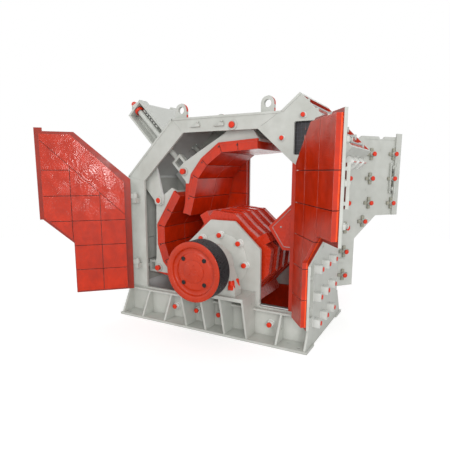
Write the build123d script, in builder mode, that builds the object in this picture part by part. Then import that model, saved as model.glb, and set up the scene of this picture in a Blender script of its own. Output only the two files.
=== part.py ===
"""Impact crusher: welded housing with open inspection doors, rotor, aprons and drive pulley.

Millimetres. +X runs along the base towards the feed inlet, +Y away from the drive pulley, +Z up.
The origin is the centre of the base on the floor.
"""

import math
import os

from build123d import *

os.makedirs("parts", exist_ok=True)

# Base
base_length = 2600.0
flange_reach = 231.0
flange_thickness = 30.0
anchor_hole_radius = 17.0
anchor_edge_x = 110.0
anchor_edge_y = 70.0
ledge_height = 349.0
ledge_thickness = 25.0
ledge_reach = 60.0
rib_thickness = 25.0
rib_toe_gap = 16.0
rib_xs = (-929.0, -576.0, -237.0, 40.0, 297.0, 585.0, 941.0)
pedestal_ribs = (-237.0, 40.0, 297.0, 585.0)

# Housing walls
housing_half_width = 540.0
wall = 35.0
housing_left = -1280.0
housing_right = 1280.0
sill_height = 364.0
shoulder_height = 1850.0
roof_height = 2542.0
roof_left = -559.0
roof_right = 860.0
peak_x = 1059.0
peak_rise = 168.0
lip_x = 1612.0
panel_foot_height = 1818.0
lip_rise = 332.0
floor_plate = 28.0

# Door opening in each side wall
opening_left = -1016.0
opening_right = 1000.0
opening_top_drop = 173.0
opening_shoulder_drop = 67.0
opening_top_left = -391.0
opening_top_right = 593.0
opening_right_rise = 187.0

# Bearing plate that carries the shaft
shaft_x = 154.0
shaft_height = 850.0
bearing_plate_half = 496.0
bearing_plate_shoulder = 1031.0
bearing_plate_top = 1337.0
bearing_plate_top_half = 162.0
shaft_radius = 95.0
shaft_wall_gap = 12.0

# Window in the inlet cheek
window_left = 1008.0
window_width = 250.0
window_below_lip = 66.0
window_below_peak = 287.0
window_corner = 20.0

# Bearing pedestal and housing
pedestal_left = -290.0
pedestal_right = 600.0
pedestal_top = 530.0
pedestal_plate = 40.0
pedestal_reach = 350.0
bearing_stand_off = 230.0
bearing_length = 150.0
bearing_radius = 235.0
bearing_foot_half = 330.0
bearing_foot_thickness = 70.0
bearing_clearance = 0.08

# Rotor
rotor_side_gap = 50.0
tip_radius = 638.0
bar_thickness = 115.0
bar_inner_radius = 395.0
bar_lead_angle = 35.0
bar_count = 4
disc_outline = ((618.0, -19.0), (577.0, -46.5), (500.0, -71.5))
disc_count = 5
disc_thickness = 70.0
drum_recess = 28.0
bar_slot_gap = 0.3

# Pulley
pulley_radius = 330.0
pulley_width = 230.0
pulley_stand_off = 655.0
pulley_grooves = 4
groove_depth = 26.0
groove_pitch = 46.0
pulley_hub_radius = 125.0
pulley_bolt_ring = 205.0
pulley_rim_inner = 265.0
pulley_hub_set_back = 20.0
pulley_ring_set_back = 30.0
pulley_web_set_back = 42.0
pulley_web_back = 130.0
pulley_bevel = 10.0
pulley_bore_depth = 70.0

# Upper apron: its pivot, and every other point counted from that pivot
upper_pivot_x = 284.0
upper_pivot_drop = 116.0
upper_back_offsets = ((274.0, -149.0), (22.0, -165.0), (-229.0, -181.0), (-473.0, -360.0),
                      (-624.0, -549.0), (-686.0, -809.0), (-750.0, -1038.0))
upper_outline_offsets = ((186.0, -26.0), (46.0, 54.0), (-44.0, 54.0), (-163.0, -74.0), (-541.0, -286.0),
                         (-669.0, -362.0), (-757.0, -410.0), (-807.0, -488.0), (-802.0, -558.0),
                         (-724.0, -646.0), (-734.0, -806.0))
upper_lug_offset = (-746.6, -517.8)
apron_side_gap = 43.0
backing_plate = 28.0
liner_thickness = 88.0
liner_gap = 10.0
apron_plate_inset = 37.0
apron_plate = 40.0
pin_radius = 32.0
pin_overhang = 45.0
pin_wall_overhang = 30.0
boss_radius = 68.0
pin_clearance = 0.1

# Lower apron: its pivot, and every other point counted from that pivot
lower_pivot_inset = 430.0
lower_pivot_drop = 318.0
lower_back_offsets = ((250.0, 134.0), (109.0, -89.0), (-33.0, -312.0), (-30.0, -582.0), (54.0, -819.0),
                      (260.0, -1032.0))
lower_outline_offsets = ((190.0, 168.0), (50.0, 68.0), (-68.0, 0.0), (-80.0, -532.0), (-90.0, -772.0),
                         (-113.0, -910.0), (-90.0, -976.0), (130.0, -1012.0))
lower_lug_offset = (-45.0, -910.0)

# Tongue plates
tongue_gap = 5.0
tongue_plate = 32.0
tongue_station_low = 60.0
tongue_station_high = 470.0

# Adjusting rods
rod_radius = 35.0
rod_eye_radius = 62.0
rod_eye_width = 74.0
rod_eye_gap = 3.0
rod_frame_near = 78.0
rod_frame_far = 228.0
rod_frame_half = 82.0
rod_window_near = 108.0
rod_window_far = 198.0
rod_window_half = 48.0
rod_hole_gap = 20.0
rod_nut_radius = 66.0
rod_nut_length = 40.0
rod_nut_seat = 0.3
lower_frame_near = 78.0
lower_frame_far = 198.0
bracket_length = 600.0
bracket_slots = 5
bracket_slot_first = 120.0
bracket_slot_pitch = 95.0
bracket_slot_length = 34.0
bracket_slot_low = 48.0
bracket_slot_high = 92.0
cross_plate_near = 120.0
cross_plate_far = 560.0
lower_bracket_half = 100.0
bracket_half_width = 135.0
bracket_depth = 150.0
bracket_plate = 25.0
upper_rod_reach = 700.0
lower_bracket_length = 330.0
lower_rod_reach = 430.0

# Feed chute
chute_edge_x = 712.0
chute_toe = (886.0, 1040.0)
chute_side_gap = 35.0

# Doors, given for the left one (hand -1) and the right one (hand +1) of each side
hinge_offset = 117.0
hinge_stand_off = 50.0
hinge_pin_radius = 16.0
hinge_block_half = 38.0
hinge_block_height = 60.0
hinge_barrel_radius = 32.0
hinge_barrel_height = 62.0
hinge_gap = 0.4
hinge_heights = (656.0, 1530.0)
strap_length = 300.0
strap_thickness = 22.0
door_plate = 28.0
door_seat_gap = 1.5
door_lap = 59.0
door_top_lap = 12.0
door_slope_lap = 27.0
door_foot = 9.0
door_plate_lap = 24.0
door_meeting_x = -8.0
door_meeting_gap = 14.0
door_edge_gap = 12.0
door_liner = 55.0
door_liner_margin = 24.0
tile_gap = 7.0
tile_first = 300.0
tile_pitch = 313.0
tile_row_count = 5
tile_columns_left = (-696.0, -354.0)
tile_columns_right = (340.0, 690.0)
brace_start_x = -40.0
brace_start_drop = 103.0
brace_end_x = -1010.0
brace_end_drop = 447.0
strip_reach = 46.0
strip_spacer = 6.0
strip_plate = 18.0
strip_rise = 44.0
notch_half = 56.0
notch_depth = 34.0
handle_inset = 60.0
handle_low = 1615.0
handle_high = 1976.0
handle_half = 15.0
handle_post = 30.0
handle_stand_off = 34.0
open_front_left = 135.0
open_front_right = 126.5
open_back_right = 129.0

# Plates and boxes on the inner and outer faces of the walls
lining = 20.0
lining_gap = 8.0
skirt_lining_low = 30.0
box_rows = (269.0, 567.0, 876.0)
box_edge = 60.0
box_inner_columns = (-187.0, 125.0)
box_half = 36.0
box_length = 82.0
slope_box_station = 305.0
slope_box_ys = (-290.0, 0.0, 290.0)

# Lifting eyes
eye_radius = 78.0
eye_hole = 42.0
eye_thickness = 40.0
eye_xs = (-440.0, 690.0)
eye_rise = 92.0

opening_top = roof_height - opening_top_drop
opening_shoulder = shoulder_height - opening_shoulder_drop
opening_right_shoulder = panel_foot_height + opening_right_rise
peak_height = roof_height + peak_rise
lip_height = panel_foot_height + lip_rise
window_bottom = lip_height - window_below_lip
window_height = peak_height - window_below_peak - window_bottom
wall_inner = housing_half_width - wall
bearing_centre_y = housing_half_width + bearing_stand_off
rotor_half = wall_inner - rotor_side_gap
pulley_front_y = -housing_half_width - pulley_stand_off
apron_half = wall_inner - apron_side_gap
apron_plate_outer = apron_half - apron_plate_inset
rod_half_spacing = apron_plate_outer - apron_plate - rod_eye_gap - rod_eye_width / 2
chute_half = wall_inner - chute_side_gap
box_columns = (-housing_half_width + box_edge,) + box_inner_columns
hinge_y = housing_half_width + hinge_stand_off
tile_rows = [sill_height + tile_first + index * tile_pitch for index in range(tile_row_count)]
brace_start = (brace_start_x, opening_top - brace_start_drop)
brace_end = (brace_end_x, opening_shoulder - brace_end_drop)
hinge_xs = {-1: opening_left - hinge_offset, 1: opening_right + hinge_offset}
upper_pivot = (upper_pivot_x, roof_height - upper_pivot_drop)
lower_pivot = (housing_left + lower_pivot_inset, shoulder_height - lower_pivot_drop)
flange_edge = housing_half_width + flange_reach
chamfer_run = math.hypot(roof_left - housing_left, roof_height - shoulder_height)
chamfer_along = ((roof_left - housing_left) / chamfer_run, (roof_height - shoulder_height) / chamfer_run)
chamfer_out = (-chamfer_along[1], chamfer_along[0])


def chamfer_point(station, height):
    """Point on the sloping wall's own axes: along it from its foot, and out from its face."""
    x = housing_left + station * chamfer_along[0] + height * chamfer_out[0]
    z = shoulder_height + station * chamfer_along[1] + height * chamfer_out[1]
    return (x, z)


def slab(points, y_low, y_high, mode=Mode.ADD):
    """Plate with an outline in the XZ plane, from y_low to y_high."""
    with BuildSketch(Plane.XZ.offset(-y_high)) as profile:
        with BuildLine():
            Polyline(*points, close=True)
        make_face()
    extrude(profile.sketch, amount=y_high - y_low, mode=mode)


def round_bar(x, z, radius, y_low, y_high, mode=Mode.ADD):
    """Cylinder along Y."""
    with BuildSketch(Plane.XZ.offset(-y_high)) as profile:
        with Locations((x, z)):
            Circle(radius)
    extrude(profile.sketch, amount=y_high - y_low, mode=mode)


def parallel(points, distance):
    """The open outline moved sideways to its left by a distance, with mitred corners."""
    normals = []
    for (x0, z0), (x1, z1) in zip(points, points[1:]):
        length = math.hypot(x1 - x0, z1 - z0)
        normals.append((-(z1 - z0) / length, (x1 - x0) / length))
    moved = []
    for index, (x, z) in enumerate(points):
        before = normals[max(index - 1, 0)]
        after = normals[min(index, len(normals) - 1)]
        scale = distance / (1 + before[0] * after[0] + before[1] * after[1])
        moved.append((x + (before[0] + after[0]) * scale, z + (before[1] + after[1]) * scale))
    return moved


def between(a, b, share):
    """Point a share of the way from a to b."""
    return (a[0] + (b[0] - a[0]) * share, a[1] + (b[1] - a[1]) * share)


def save(part, name):
    """Label a finished piece and write it."""
    part.label = name
    export_step(part, f"parts/{name}.step")


def counted_from(origin, offsets):
    """Points given by their offsets from an origin."""
    return [(origin[0] + dx, origin[1] + dz) for dx, dz in offsets]


def inset(points, distance):
    """A closed counter-clockwise outline moved inwards."""
    return parallel([points[-1]] + points + [points[0]], distance)[1:-1]


both_sides = (-1, 1)
upper_back = counted_from(upper_pivot, upper_back_offsets)
upper_lug = counted_from(upper_pivot, [upper_lug_offset])[0]
lower_back = counted_from(lower_pivot, lower_back_offsets)
lower_lug = counted_from(lower_pivot, [lower_lug_offset])[0]
lug_run = (upper_lug[0] - housing_left, upper_lug[1] - shoulder_height)
adjuster_station = lug_run[0] * chamfer_along[0] + lug_run[1] * chamfer_along[1]
lug_depth = -(lug_run[0] * chamfer_out[0] + lug_run[1] * chamfer_out[1])


def span(side, inner, outer):
    """Low and high Y of a layer that lies between two distances from the middle plane."""
    return (min(side * inner, side * outer), max(side * inner, side * outer))


# Base rails: flange, skirt, ledge, ribs and bearing pedestal of each long side
with BuildPart() as base_rails:
    for side in both_sides:
        low, high = span(side, wall_inner, flange_edge)
        with BuildSketch(Plane.XY):
            with Locations((0, (low + high) / 2)):
                Rectangle(base_length, high - low)
        extrude(amount=flange_thickness)
        slab([(housing_left, 0), (housing_right, 0), (housing_right, sill_height), (housing_left, sill_height)],
             *span(side, wall_inner, housing_half_width))
        slab([(housing_left, ledge_height - ledge_thickness), (housing_right, ledge_height - ledge_thickness),
              (housing_right, ledge_height), (housing_left, ledge_height)],
             *span(side, wall_inner, housing_half_width + ledge_reach))
        ends = (housing_left + rib_thickness / 2, housing_right - rib_thickness / 2)
        for x in ends + rib_xs:
            deep = x in pedestal_ribs
            top = pedestal_top - pedestal_plate if deep else ledge_height - ledge_thickness
            reach = pedestal_reach - rib_toe_gap if deep else ledge_reach
            with BuildSketch(Plane.YZ.offset(x - rib_thickness / 2)):
                with BuildLine():
                    Polyline((side * wall_inner, 0), (side * (flange_edge - rib_toe_gap), 0),
                             (side * (flange_edge - rib_toe_gap), flange_thickness),
                             (side * (housing_half_width + reach), top), (side * housing_half_width, top),
                             (side * housing_half_width, flange_thickness),
                             (side * wall_inner, flange_thickness), close=True)
                make_face()
            extrude(amount=rib_thickness)
        slab([(pedestal_left, pedestal_top - pedestal_plate), (pedestal_right, pedestal_top - pedestal_plate),
              (pedestal_right, pedestal_top), (pedestal_left, pedestal_top)],
             *span(side, housing_half_width, housing_half_width + pedestal_reach))
    with GridLocations(base_length - 2 * anchor_edge_x, 2 * (flange_edge - anchor_edge_y), 2, 2):
        Hole(anchor_hole_radius)
save(base_rails.part, "base_rails")

# Left posts beside the door opening
with BuildPart() as left_posts:
    for side in both_sides:
        slab([(housing_left, sill_height), (opening_left, sill_height), (opening_left, opening_shoulder),
              (housing_left, shoulder_height)], *span(side, wall_inner, housing_half_width))
save(left_posts.part, "left_posts")

# Sloping beams above the left posts
with BuildPart() as chamfer_beams:
    for side in both_sides:
        slab([(housing_left, shoulder_height), (opening_left, opening_shoulder), (opening_top_left, opening_top),
              (roof_left, roof_height)], *span(side, wall_inner, housing_half_width))
save(chamfer_beams.part, "chamfer_beams")

# Top beams over the door opening, bored for the upper apron's pivot pin
with BuildPart() as top_beams:
    for side in both_sides:
        low, high = span(side, wall_inner, housing_half_width)
        slab([(roof_left, roof_height), (opening_top_left, opening_top), (opening_top_right, opening_top),
              (roof_right, roof_height)], low, high)
        round_bar(*upper_pivot, pin_radius + pin_clearance, low, high, Mode.SUBTRACT)
save(top_beams.part, "top_beams")

# Inlet cheeks with the inspection window
with BuildPart() as inlet_cheeks:
    for side in both_sides:
        low, high = span(side, wall_inner, housing_half_width)
        slab([(opening_top_right, opening_top), (opening_right, opening_right_shoulder),
              (housing_right, panel_foot_height), (lip_x, lip_height), (peak_x, peak_height),
              (roof_right, roof_height)], low, high)
        with BuildSketch(Plane.XZ.offset(-high)):
            with Locations((window_left + window_width / 2, window_bottom + window_height / 2)):
                RectangleRounded(window_width, window_height, window_corner)
        extrude(amount=high - low, mode=Mode.SUBTRACT)
save(inlet_cheeks.part, "inlet_cheeks")

# Right posts beside the door opening
with BuildPart() as right_posts:
    for side in both_sides:
        slab([(opening_right, sill_height), (housing_right, sill_height), (housing_right, panel_foot_height),
              (opening_right, opening_right_shoulder)], *span(side, wall_inner, housing_half_width))
save(right_posts.part, "right_posts")

# Bearing plates that stand in the door opening
plate_left = shaft_x - bearing_plate_half
plate_right = shaft_x + bearing_plate_half
with BuildPart() as bearing_plates:
    for side in both_sides:
        low, high = span(side, wall_inner, housing_half_width)
        slab([(plate_left, sill_height), (plate_right, sill_height), (plate_right, bearing_plate_shoulder),
              (shaft_x + bearing_plate_top_half, bearing_plate_top),
              (shaft_x - bearing_plate_top_half, bearing_plate_top),
              (plate_left, bearing_plate_shoulder)], low, high)
        round_bar(shaft_x, shaft_height, shaft_radius + shaft_wall_gap, low, high, Mode.SUBTRACT)
save(bearing_plates.part, "bearing_plates")

# Left end wall
with BuildPart() as left_end_wall:
    slab([(housing_left, 0), (housing_left + wall, 0), (housing_left + wall, shoulder_height),
          (housing_left, shoulder_height)], -wall_inner, wall_inner)
    for side in both_sides:
        with BuildSketch(Plane.YZ.offset(housing_left)):
            with Locations((side * rod_half_spacing, lower_lug[1])):
                Circle(rod_radius + rod_hole_gap)
        extrude(amount=wall, mode=Mode.SUBTRACT)
save(left_end_wall.part, "left_end_wall")

# Sloping wall that carries the upper adjusters
with BuildPart() as chamfer_wall:
    slab([(housing_left, shoulder_height), (housing_left + wall, shoulder_height),
          chamfer_point(chamfer_run, -wall), (roof_left, roof_height)], -wall_inner, wall_inner)
    for side in both_sides:
        x, z = chamfer_point(adjuster_station, 0)
        with BuildSketch(Plane(origin=(x, side * rod_half_spacing, z), x_dir=(0, 1, 0),
                               z_dir=(-chamfer_out[0], 0, -chamfer_out[1]))):
            Circle(rod_radius + rod_hole_gap)
        extrude(amount=2 * wall, both=True, mode=Mode.SUBTRACT)
save(chamfer_wall.part, "chamfer_wall")

# Roof plate
roof_inner_left = chamfer_point(chamfer_run, -wall)[0]
with BuildPart() as roof_plate:
    slab([(roof_left, roof_height), chamfer_point(chamfer_run, -wall), (roof_inner_left, roof_height - wall),
          (roof_right, roof_height - wall), (roof_right, roof_height)], -wall_inner, wall_inner)
save(roof_plate.part, "roof_plate")

# Plate that rises from the roof to the inlet's upper edge
rise = [(roof_right, roof_height), (peak_x, peak_height)]
rise_under = parallel(rise, -wall)
rise_slope = (peak_height - roof_height) / (peak_x - roof_right)
rise_foot = (roof_right, rise_under[0][1] - (rise_under[0][0] - roof_right) * rise_slope)
with BuildPart() as inlet_top_plate:
    slab([rise[0], rise[1], rise_under[1], rise_foot], -wall_inner, wall_inner)
save(inlet_top_plate.part, "inlet_top_plate")

# Sloping feed floor from the right end wall up to the inlet's lower lip
floor_line = [(housing_right, panel_foot_height), (lip_x, lip_height)]
floor_top = parallel(floor_line, floor_plate)
floor_slope = (lip_height - panel_foot_height) / (lip_x - housing_right)
floor_inner = (housing_right - wall, floor_top[0][1] + (housing_right - wall - floor_top[0][0]) * floor_slope)
with BuildPart() as feed_floor:
    slab([floor_line[0], floor_line[1], floor_top[1], floor_inner, (housing_right - wall, panel_foot_height)],
         -wall_inner, wall_inner)
save(feed_floor.part, "feed_floor")

# Right end wall
with BuildPart() as right_end_wall:
    slab([(housing_right - wall, 0), (housing_right, 0), (housing_right, panel_foot_height),
          (housing_right - wall, panel_foot_height)], -wall_inner, wall_inner)
save(right_end_wall.part, "right_end_wall")

# Feed chute wedge behind the right end wall
with BuildPart() as feed_chute:
    inner_right = housing_right - wall
    edge_z = floor_inner[1] - (floor_inner[0] - chute_edge_x) * floor_slope
    slab([(chute_edge_x, edge_z), chute_toe, (inner_right, chute_toe[1]), floor_inner], -chute_half, chute_half)
save(feed_chute.part, "feed_chute")

# Bearing housings on the pedestals
with BuildPart() as bearing_housings:
    for side in both_sides:
        low, high = span(side, bearing_centre_y - bearing_length / 2, bearing_centre_y + bearing_length / 2)
        round_bar(shaft_x, shaft_height, bearing_radius, low, high)
        slab([(shaft_x - bearing_foot_half, pedestal_top), (shaft_x + bearing_foot_half, pedestal_top),
              (shaft_x + bearing_foot_half, pedestal_top + bearing_foot_thickness),
              (shaft_x + bearing_radius, shaft_height), (shaft_x - bearing_radius, shaft_height),
              (shaft_x - bearing_foot_half, pedestal_top + bearing_foot_thickness)], low, high)
        round_bar(shaft_x, shaft_height, shaft_radius + bearing_clearance, low, high, Mode.SUBTRACT)
save(bearing_housings.part, "bearing_housings")

# Lifting eyes on the roof edge
eye_y = housing_half_width - wall - eye_thickness
with BuildPart() as lifting_eyes:
    for side in both_sides:
        low, high = span(side, eye_y, eye_y + eye_thickness)
        for x in eye_xs:
            round_bar(x, roof_height + eye_rise, eye_radius, low, high)
            slab([(x - eye_radius, roof_height), (x + eye_radius, roof_height),
                  (x + eye_radius, roof_height + eye_rise), (x - eye_radius, roof_height + eye_rise)], low, high)
            round_bar(x, roof_height + eye_rise, eye_hole, low, high, Mode.SUBTRACT)
save(lifting_eyes.part, "lifting_eyes")


def upright(x, y, z_low, height, radius, mode=Mode.ADD):
    """Upright cylinder."""
    with BuildSketch(Plane.XY.offset(z_low)) as profile:
        with Locations((x, y)):
            Circle(radius)
    extrude(profile.sketch, amount=height, mode=mode)


def block(x_low, x_high, y_low, y_high, z_low, z_high, mode=Mode.ADD):
    """Rectangular bar between two corners."""
    with BuildSketch(Plane.XY.offset(z_low)) as profile:
        with Locations(((x_low + x_high) / 2, (y_low + y_high) / 2)):
            Rectangle(x_high - x_low, y_high - y_low)
    extrude(profile.sketch, amount=z_high - z_low, mode=mode)


# Hinge blocks welded to the posts, each with an upright pin
with BuildPart() as hinge_blocks:
    for side in both_sides:
        for x in hinge_xs.values():
            for z in hinge_heights:
                block(x - hinge_block_half, x + hinge_block_half,
                      *span(side, housing_half_width, hinge_y + hinge_block_half),
                      z - hinge_block_height / 2, z + hinge_block_height / 2)
                upright(x, side * hinge_y, z + hinge_block_height / 2, hinge_barrel_height, hinge_pin_radius)
save(hinge_blocks.part, "hinge_blocks")

# Square bolt boxes on the right end wall and under the sloping feed floor
with BuildPart() as bolt_boxes:
    for y in box_columns:
        for z in box_rows:
            block(housing_right, housing_right + box_length, y - box_half, y + box_half, z - box_half, z + box_half)
    slope_length = math.hypot(lip_x - housing_right, lip_height - panel_foot_height)
    slope_run = ((lip_x - housing_right) / slope_length, (lip_height - panel_foot_height) / slope_length)
    for y in slope_box_ys:
        corners = []
        for along, below in ((-box_half, 0), (box_half, 0), (box_half, box_length), (-box_half, box_length)):
            station = slope_box_station + along
            corners.append((housing_right + station * slope_run[0] + below * slope_run[1],
                            panel_foot_height + station * slope_run[1] - below * slope_run[0]))
        slab(corners, y - box_half, y + box_half)
save(bolt_boxes.part, "bolt_boxes")

# Lining plates on the left end wall, split between the rows
with BuildPart() as end_wall_liners:
    face = housing_left + wall
    rows = [sill_height, tile_rows[0], tile_rows[1], tile_rows[3], shoulder_height - wall]
    for low, high in zip(rows, rows[1:]):
        block(face, face + lining, -wall_inner + lining_gap, wall_inner - lining_gap, low + lining_gap, high)
    for side in both_sides:
        with BuildSketch(Plane.YZ.offset(face)):
            with Locations((side * rod_half_spacing, lower_lug[1])):
                Circle(rod_radius + rod_hole_gap)
        extrude(amount=lining, mode=Mode.SUBTRACT)
save(end_wall_liners.part, "end_wall_liners")

# Lining plates inside the base skirts and on the right end wall below the chute
with BuildPart() as skirt_liners:
    for side in both_sides:
        block(housing_left + wall + lining_gap, housing_right - wall - lining - lining_gap,
              *span(side, wall_inner - lining, wall_inner), skirt_lining_low, sill_height - lining_gap)
    block(housing_right - wall - lining, housing_right - wall, -wall_inner + lining_gap, wall_inner - lining_gap,
          skirt_lining_low, chute_toe[1] - lining_gap)
save(skirt_liners.part, "skirt_liners")

# Rotor shaft with its pulley seat
with BuildPart() as rotor_shaft:
    round_bar(shaft_x, shaft_height, shaft_radius, pulley_front_y + pulley_bore_depth,
              bearing_centre_y + bearing_length)
save(rotor_shaft.part, "rotor_shaft")


def polar(radius, degrees):
    """Point around the shaft axis in the XZ plane."""
    angle = math.radians(degrees)
    return (shaft_x + radius * math.cos(angle), shaft_height + radius * math.sin(angle))


def rotor_outline(recess):
    """Stepped outline that rises from each blow bar to the shoulder behind the next."""
    points = []
    for index in range(bar_count):
        lead = bar_lead_angle + index * 360 / bar_count
        for radius, turn in reversed(disc_outline):
            points.append(polar(radius - recess, lead + turn))
    return points


def bar_profile(index, grow=0.0):
    """Rectangle of one blow bar, its leading face through the tip corner."""
    lead = bar_lead_angle + index * 360 / bar_count
    centre = math.radians(lead - math.degrees(math.asin(bar_thickness / 2 / tip_radius)))
    out = (math.cos(centre), math.sin(centre))
    side = (-out[1], out[0])
    half = bar_thickness / 2 + grow
    tip = math.sqrt(tip_radius ** 2 - (bar_thickness / 2) ** 2) + 3 * grow
    foot = bar_inner_radius - grow
    corners = ((foot, -half), (tip, -half), (tip, half), (foot, half))
    return [(shaft_x + r * out[0] + s * side[0], shaft_height + r * out[1] + s * side[1]) for r, s in corners]


# Rotor body: discs on a recessed drum, slotted for the blow bars and bored for the shaft
disc_pitch = (2 * rotor_half - disc_thickness) / (disc_count - 1)
with BuildPart() as rotor_body:
    slab(rotor_outline(drum_recess), -rotor_half, rotor_half)
    for index in range(disc_count):
        low = -rotor_half + index * disc_pitch
        slab(rotor_outline(0), low, low + disc_thickness)
    for index in range(bar_count):
        slab(bar_profile(index, bar_slot_gap), -rotor_half, rotor_half, Mode.SUBTRACT)
    round_bar(shaft_x, shaft_height, shaft_radius, -rotor_half, rotor_half, Mode.SUBTRACT)
save(rotor_body.part, "rotor_body")

# Blow bars
with BuildPart() as blow_bars:
    for index in range(bar_count):
        slab(bar_profile(index), -rotor_half, rotor_half)
save(blow_bars.part, "blow_bars")

# Drive pulley with V grooves, its hub and bolt ring standing proud of the recessed web
with BuildPart() as pulley:
    with BuildSketch(Plane.XY.offset(shaft_height)):
        with BuildLine():
            front = pulley_front_y
            back = front + pulley_width
            rim = [(0, front + pulley_hub_set_back), (pulley_hub_radius, front + pulley_hub_set_back),
                   (pulley_hub_radius, front + pulley_ring_set_back),
                   (pulley_bolt_ring, front + pulley_ring_set_back),
                   (pulley_bolt_ring + pulley_bevel, front + pulley_web_set_back),
                   (pulley_rim_inner - pulley_bevel, front + pulley_web_set_back),
                   (pulley_rim_inner, front), (pulley_radius, front)]
            first = front + (pulley_width - pulley_grooves * groove_pitch) / 2
            for index in range(pulley_grooves):
                start = first + index * groove_pitch
                rim += [(pulley_radius, start), (pulley_radius - groove_depth, start + groove_pitch / 2)]
            rim += [(pulley_radius, first + pulley_grooves * groove_pitch), (pulley_radius, back),
                    (pulley_rim_inner, back), (pulley_rim_inner, front + pulley_web_back),
                    (shaft_radius, front + pulley_web_back), (shaft_radius, front + pulley_bore_depth),
                    (0, front + pulley_bore_depth)]
            Polyline(*[(shaft_x + radius, y) for radius, y in rim], close=True)
        make_face()
    revolve(axis=Axis((shaft_x, 0, shaft_height), (0, 1, 0)))
save(pulley.part, "pulley")


def apron_frame(back, boss, lug, outline):
    """Backing plate under the liners with two side plates that carry the pivot and the lug."""
    under = parallel(back, backing_plate)
    slab(list(back) + under[::-1], -apron_half, apron_half)
    for side in both_sides:
        low, high = span(side, apron_plate_outer - apron_plate, apron_plate_outer)
        slab([back[0]] + outline + [back[-1]] + under[::-1], low, high)
        round_bar(*boss, boss_radius, low, high)
        round_bar(*lug, boss_radius, low, high)


def liner_rows(back):
    """Liner blocks: one row for each stretch of the backing plate, two blocks across."""
    inner = parallel(back, backing_plate)
    face = parallel(back, backing_plate + liner_thickness)
    for start, end, face_start, face_end in zip(inner, inner[1:], face, face[1:]):
        run = math.hypot(end[0] - start[0], end[1] - start[1])
        share = liner_gap / 2 / run
        row = [between(start, end, share), between(start, end, 1 - share),
               between(face_end, face_start, share), between(face_start, face_end, share)]
        for side in both_sides:
            slab(row, *span(side, liner_gap / 2, apron_half))


# Upper apron with its pivot and rod pins
with BuildPart() as upper_apron_frame:
    apron_frame(upper_back, upper_pivot, upper_lug, counted_from(upper_pivot, upper_outline_offsets))
    for side in both_sides:
        round_bar(*upper_pivot, pin_radius,
                  *span(side, apron_plate_outer - apron_plate, housing_half_width + pin_wall_overhang))
        round_bar(*upper_lug, pin_radius,
                  *span(side, rod_half_spacing - rod_eye_width / 2, apron_plate_outer + pin_overhang))
save(upper_apron_frame.part, "upper_apron_frame")

with BuildPart() as upper_apron_liners:
    liner_rows(upper_back)
save(upper_apron_liners.part, "upper_apron_liners")

# Lower apron with its pivot and rod pins
with BuildPart() as lower_apron_frame:
    apron_frame(lower_back, lower_pivot, lower_lug, counted_from(lower_pivot, lower_outline_offsets))
    for side in both_sides:
        round_bar(*lower_pivot, pin_radius,
                  *span(side, apron_plate_outer - apron_plate, apron_plate_outer + pin_overhang))
        round_bar(*lower_lug, pin_radius,
                  *span(side, rod_half_spacing - rod_eye_width / 2, apron_plate_outer + pin_overhang))
save(lower_apron_frame.part, "lower_apron_frame")

with BuildPart() as lower_apron_liners:
    liner_rows(lower_back)
save(lower_apron_liners.part, "lower_apron_liners")

# Tongue plates that hang from the sloping wall and carry the lower apron's pivot
with BuildPart() as apron_tongues:
    for side in both_sides:
        low, high = span(side, apron_plate_outer + tongue_gap, apron_plate_outer + tongue_gap + tongue_plate)
        slab([chamfer_point(tongue_station_low, -wall), chamfer_point(tongue_station_high, -wall),
              (lower_pivot[0] + boss_radius, lower_pivot[1] + boss_radius),
              (lower_pivot[0] + boss_radius, lower_pivot[1]), (lower_pivot[0] - boss_radius, lower_pivot[1])], low, high)
        round_bar(*lower_pivot, boss_radius, low, high)
        round_bar(*lower_pivot, pin_radius + pin_clearance, low, high, Mode.SUBTRACT)
save(apron_tongues.part, "apron_tongues")


def in_line(start, direction, points):
    """Points given along and beside a direction from a start."""
    return [(start[0] + u * direction[0] - v * direction[1], start[1] + u * direction[1] + v * direction[0])
            for u, v in points]


def rod(start, direction, frame_near, frame_far, reach, nut_reach):
    """Adjusting rods: an eye on the lug pin, an open frame, and a round bar with a hexagonal nut."""
    window_near = frame_near + rod_window_near - rod_frame_near
    window_far = frame_far + rod_window_far - rod_frame_far
    for side in both_sides:
        low, high = span(side, rod_half_spacing - rod_eye_width / 2, rod_half_spacing + rod_eye_width / 2)
        round_bar(*start, rod_eye_radius, low, high)
        slab(in_line(start, direction, ((0, -rod_eye_radius), (frame_near, -rod_frame_half),
                                        (frame_far, -rod_frame_half), (frame_far, rod_frame_half),
                                        (frame_near, rod_frame_half), (0, rod_eye_radius))), low, high)
        slab(in_line(start, direction, ((window_near, -rod_window_half), (window_far, -rod_window_half),
                                        (window_far, rod_window_half), (window_near, rod_window_half))),
             low, high, Mode.SUBTRACT)
        plane = Plane(origin=(start[0], side * rod_half_spacing, start[1]), x_dir=(0, 1, 0),
                      z_dir=(direction[0], 0, direction[1]))
        with BuildSketch(plane.offset(frame_far)) as bar:
            Circle(rod_radius)
        extrude(bar.sketch, amount=reach - frame_far)
        with BuildSketch(plane.offset(nut_reach)) as nut:
            RegularPolygon(rod_nut_radius, 6)
        extrude(nut.sketch, amount=rod_nut_length)
        round_bar(*start, pin_radius + pin_clearance, low, high, Mode.SUBTRACT)


# Upper adjusting rods
with BuildPart() as upper_rods:
    rod(upper_lug, chamfer_out, rod_frame_near, rod_frame_far, lug_depth + upper_rod_reach,
        lug_depth + bracket_length + bracket_plate + rod_nut_seat)
save(upper_rods.part, "upper_rods")

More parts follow.
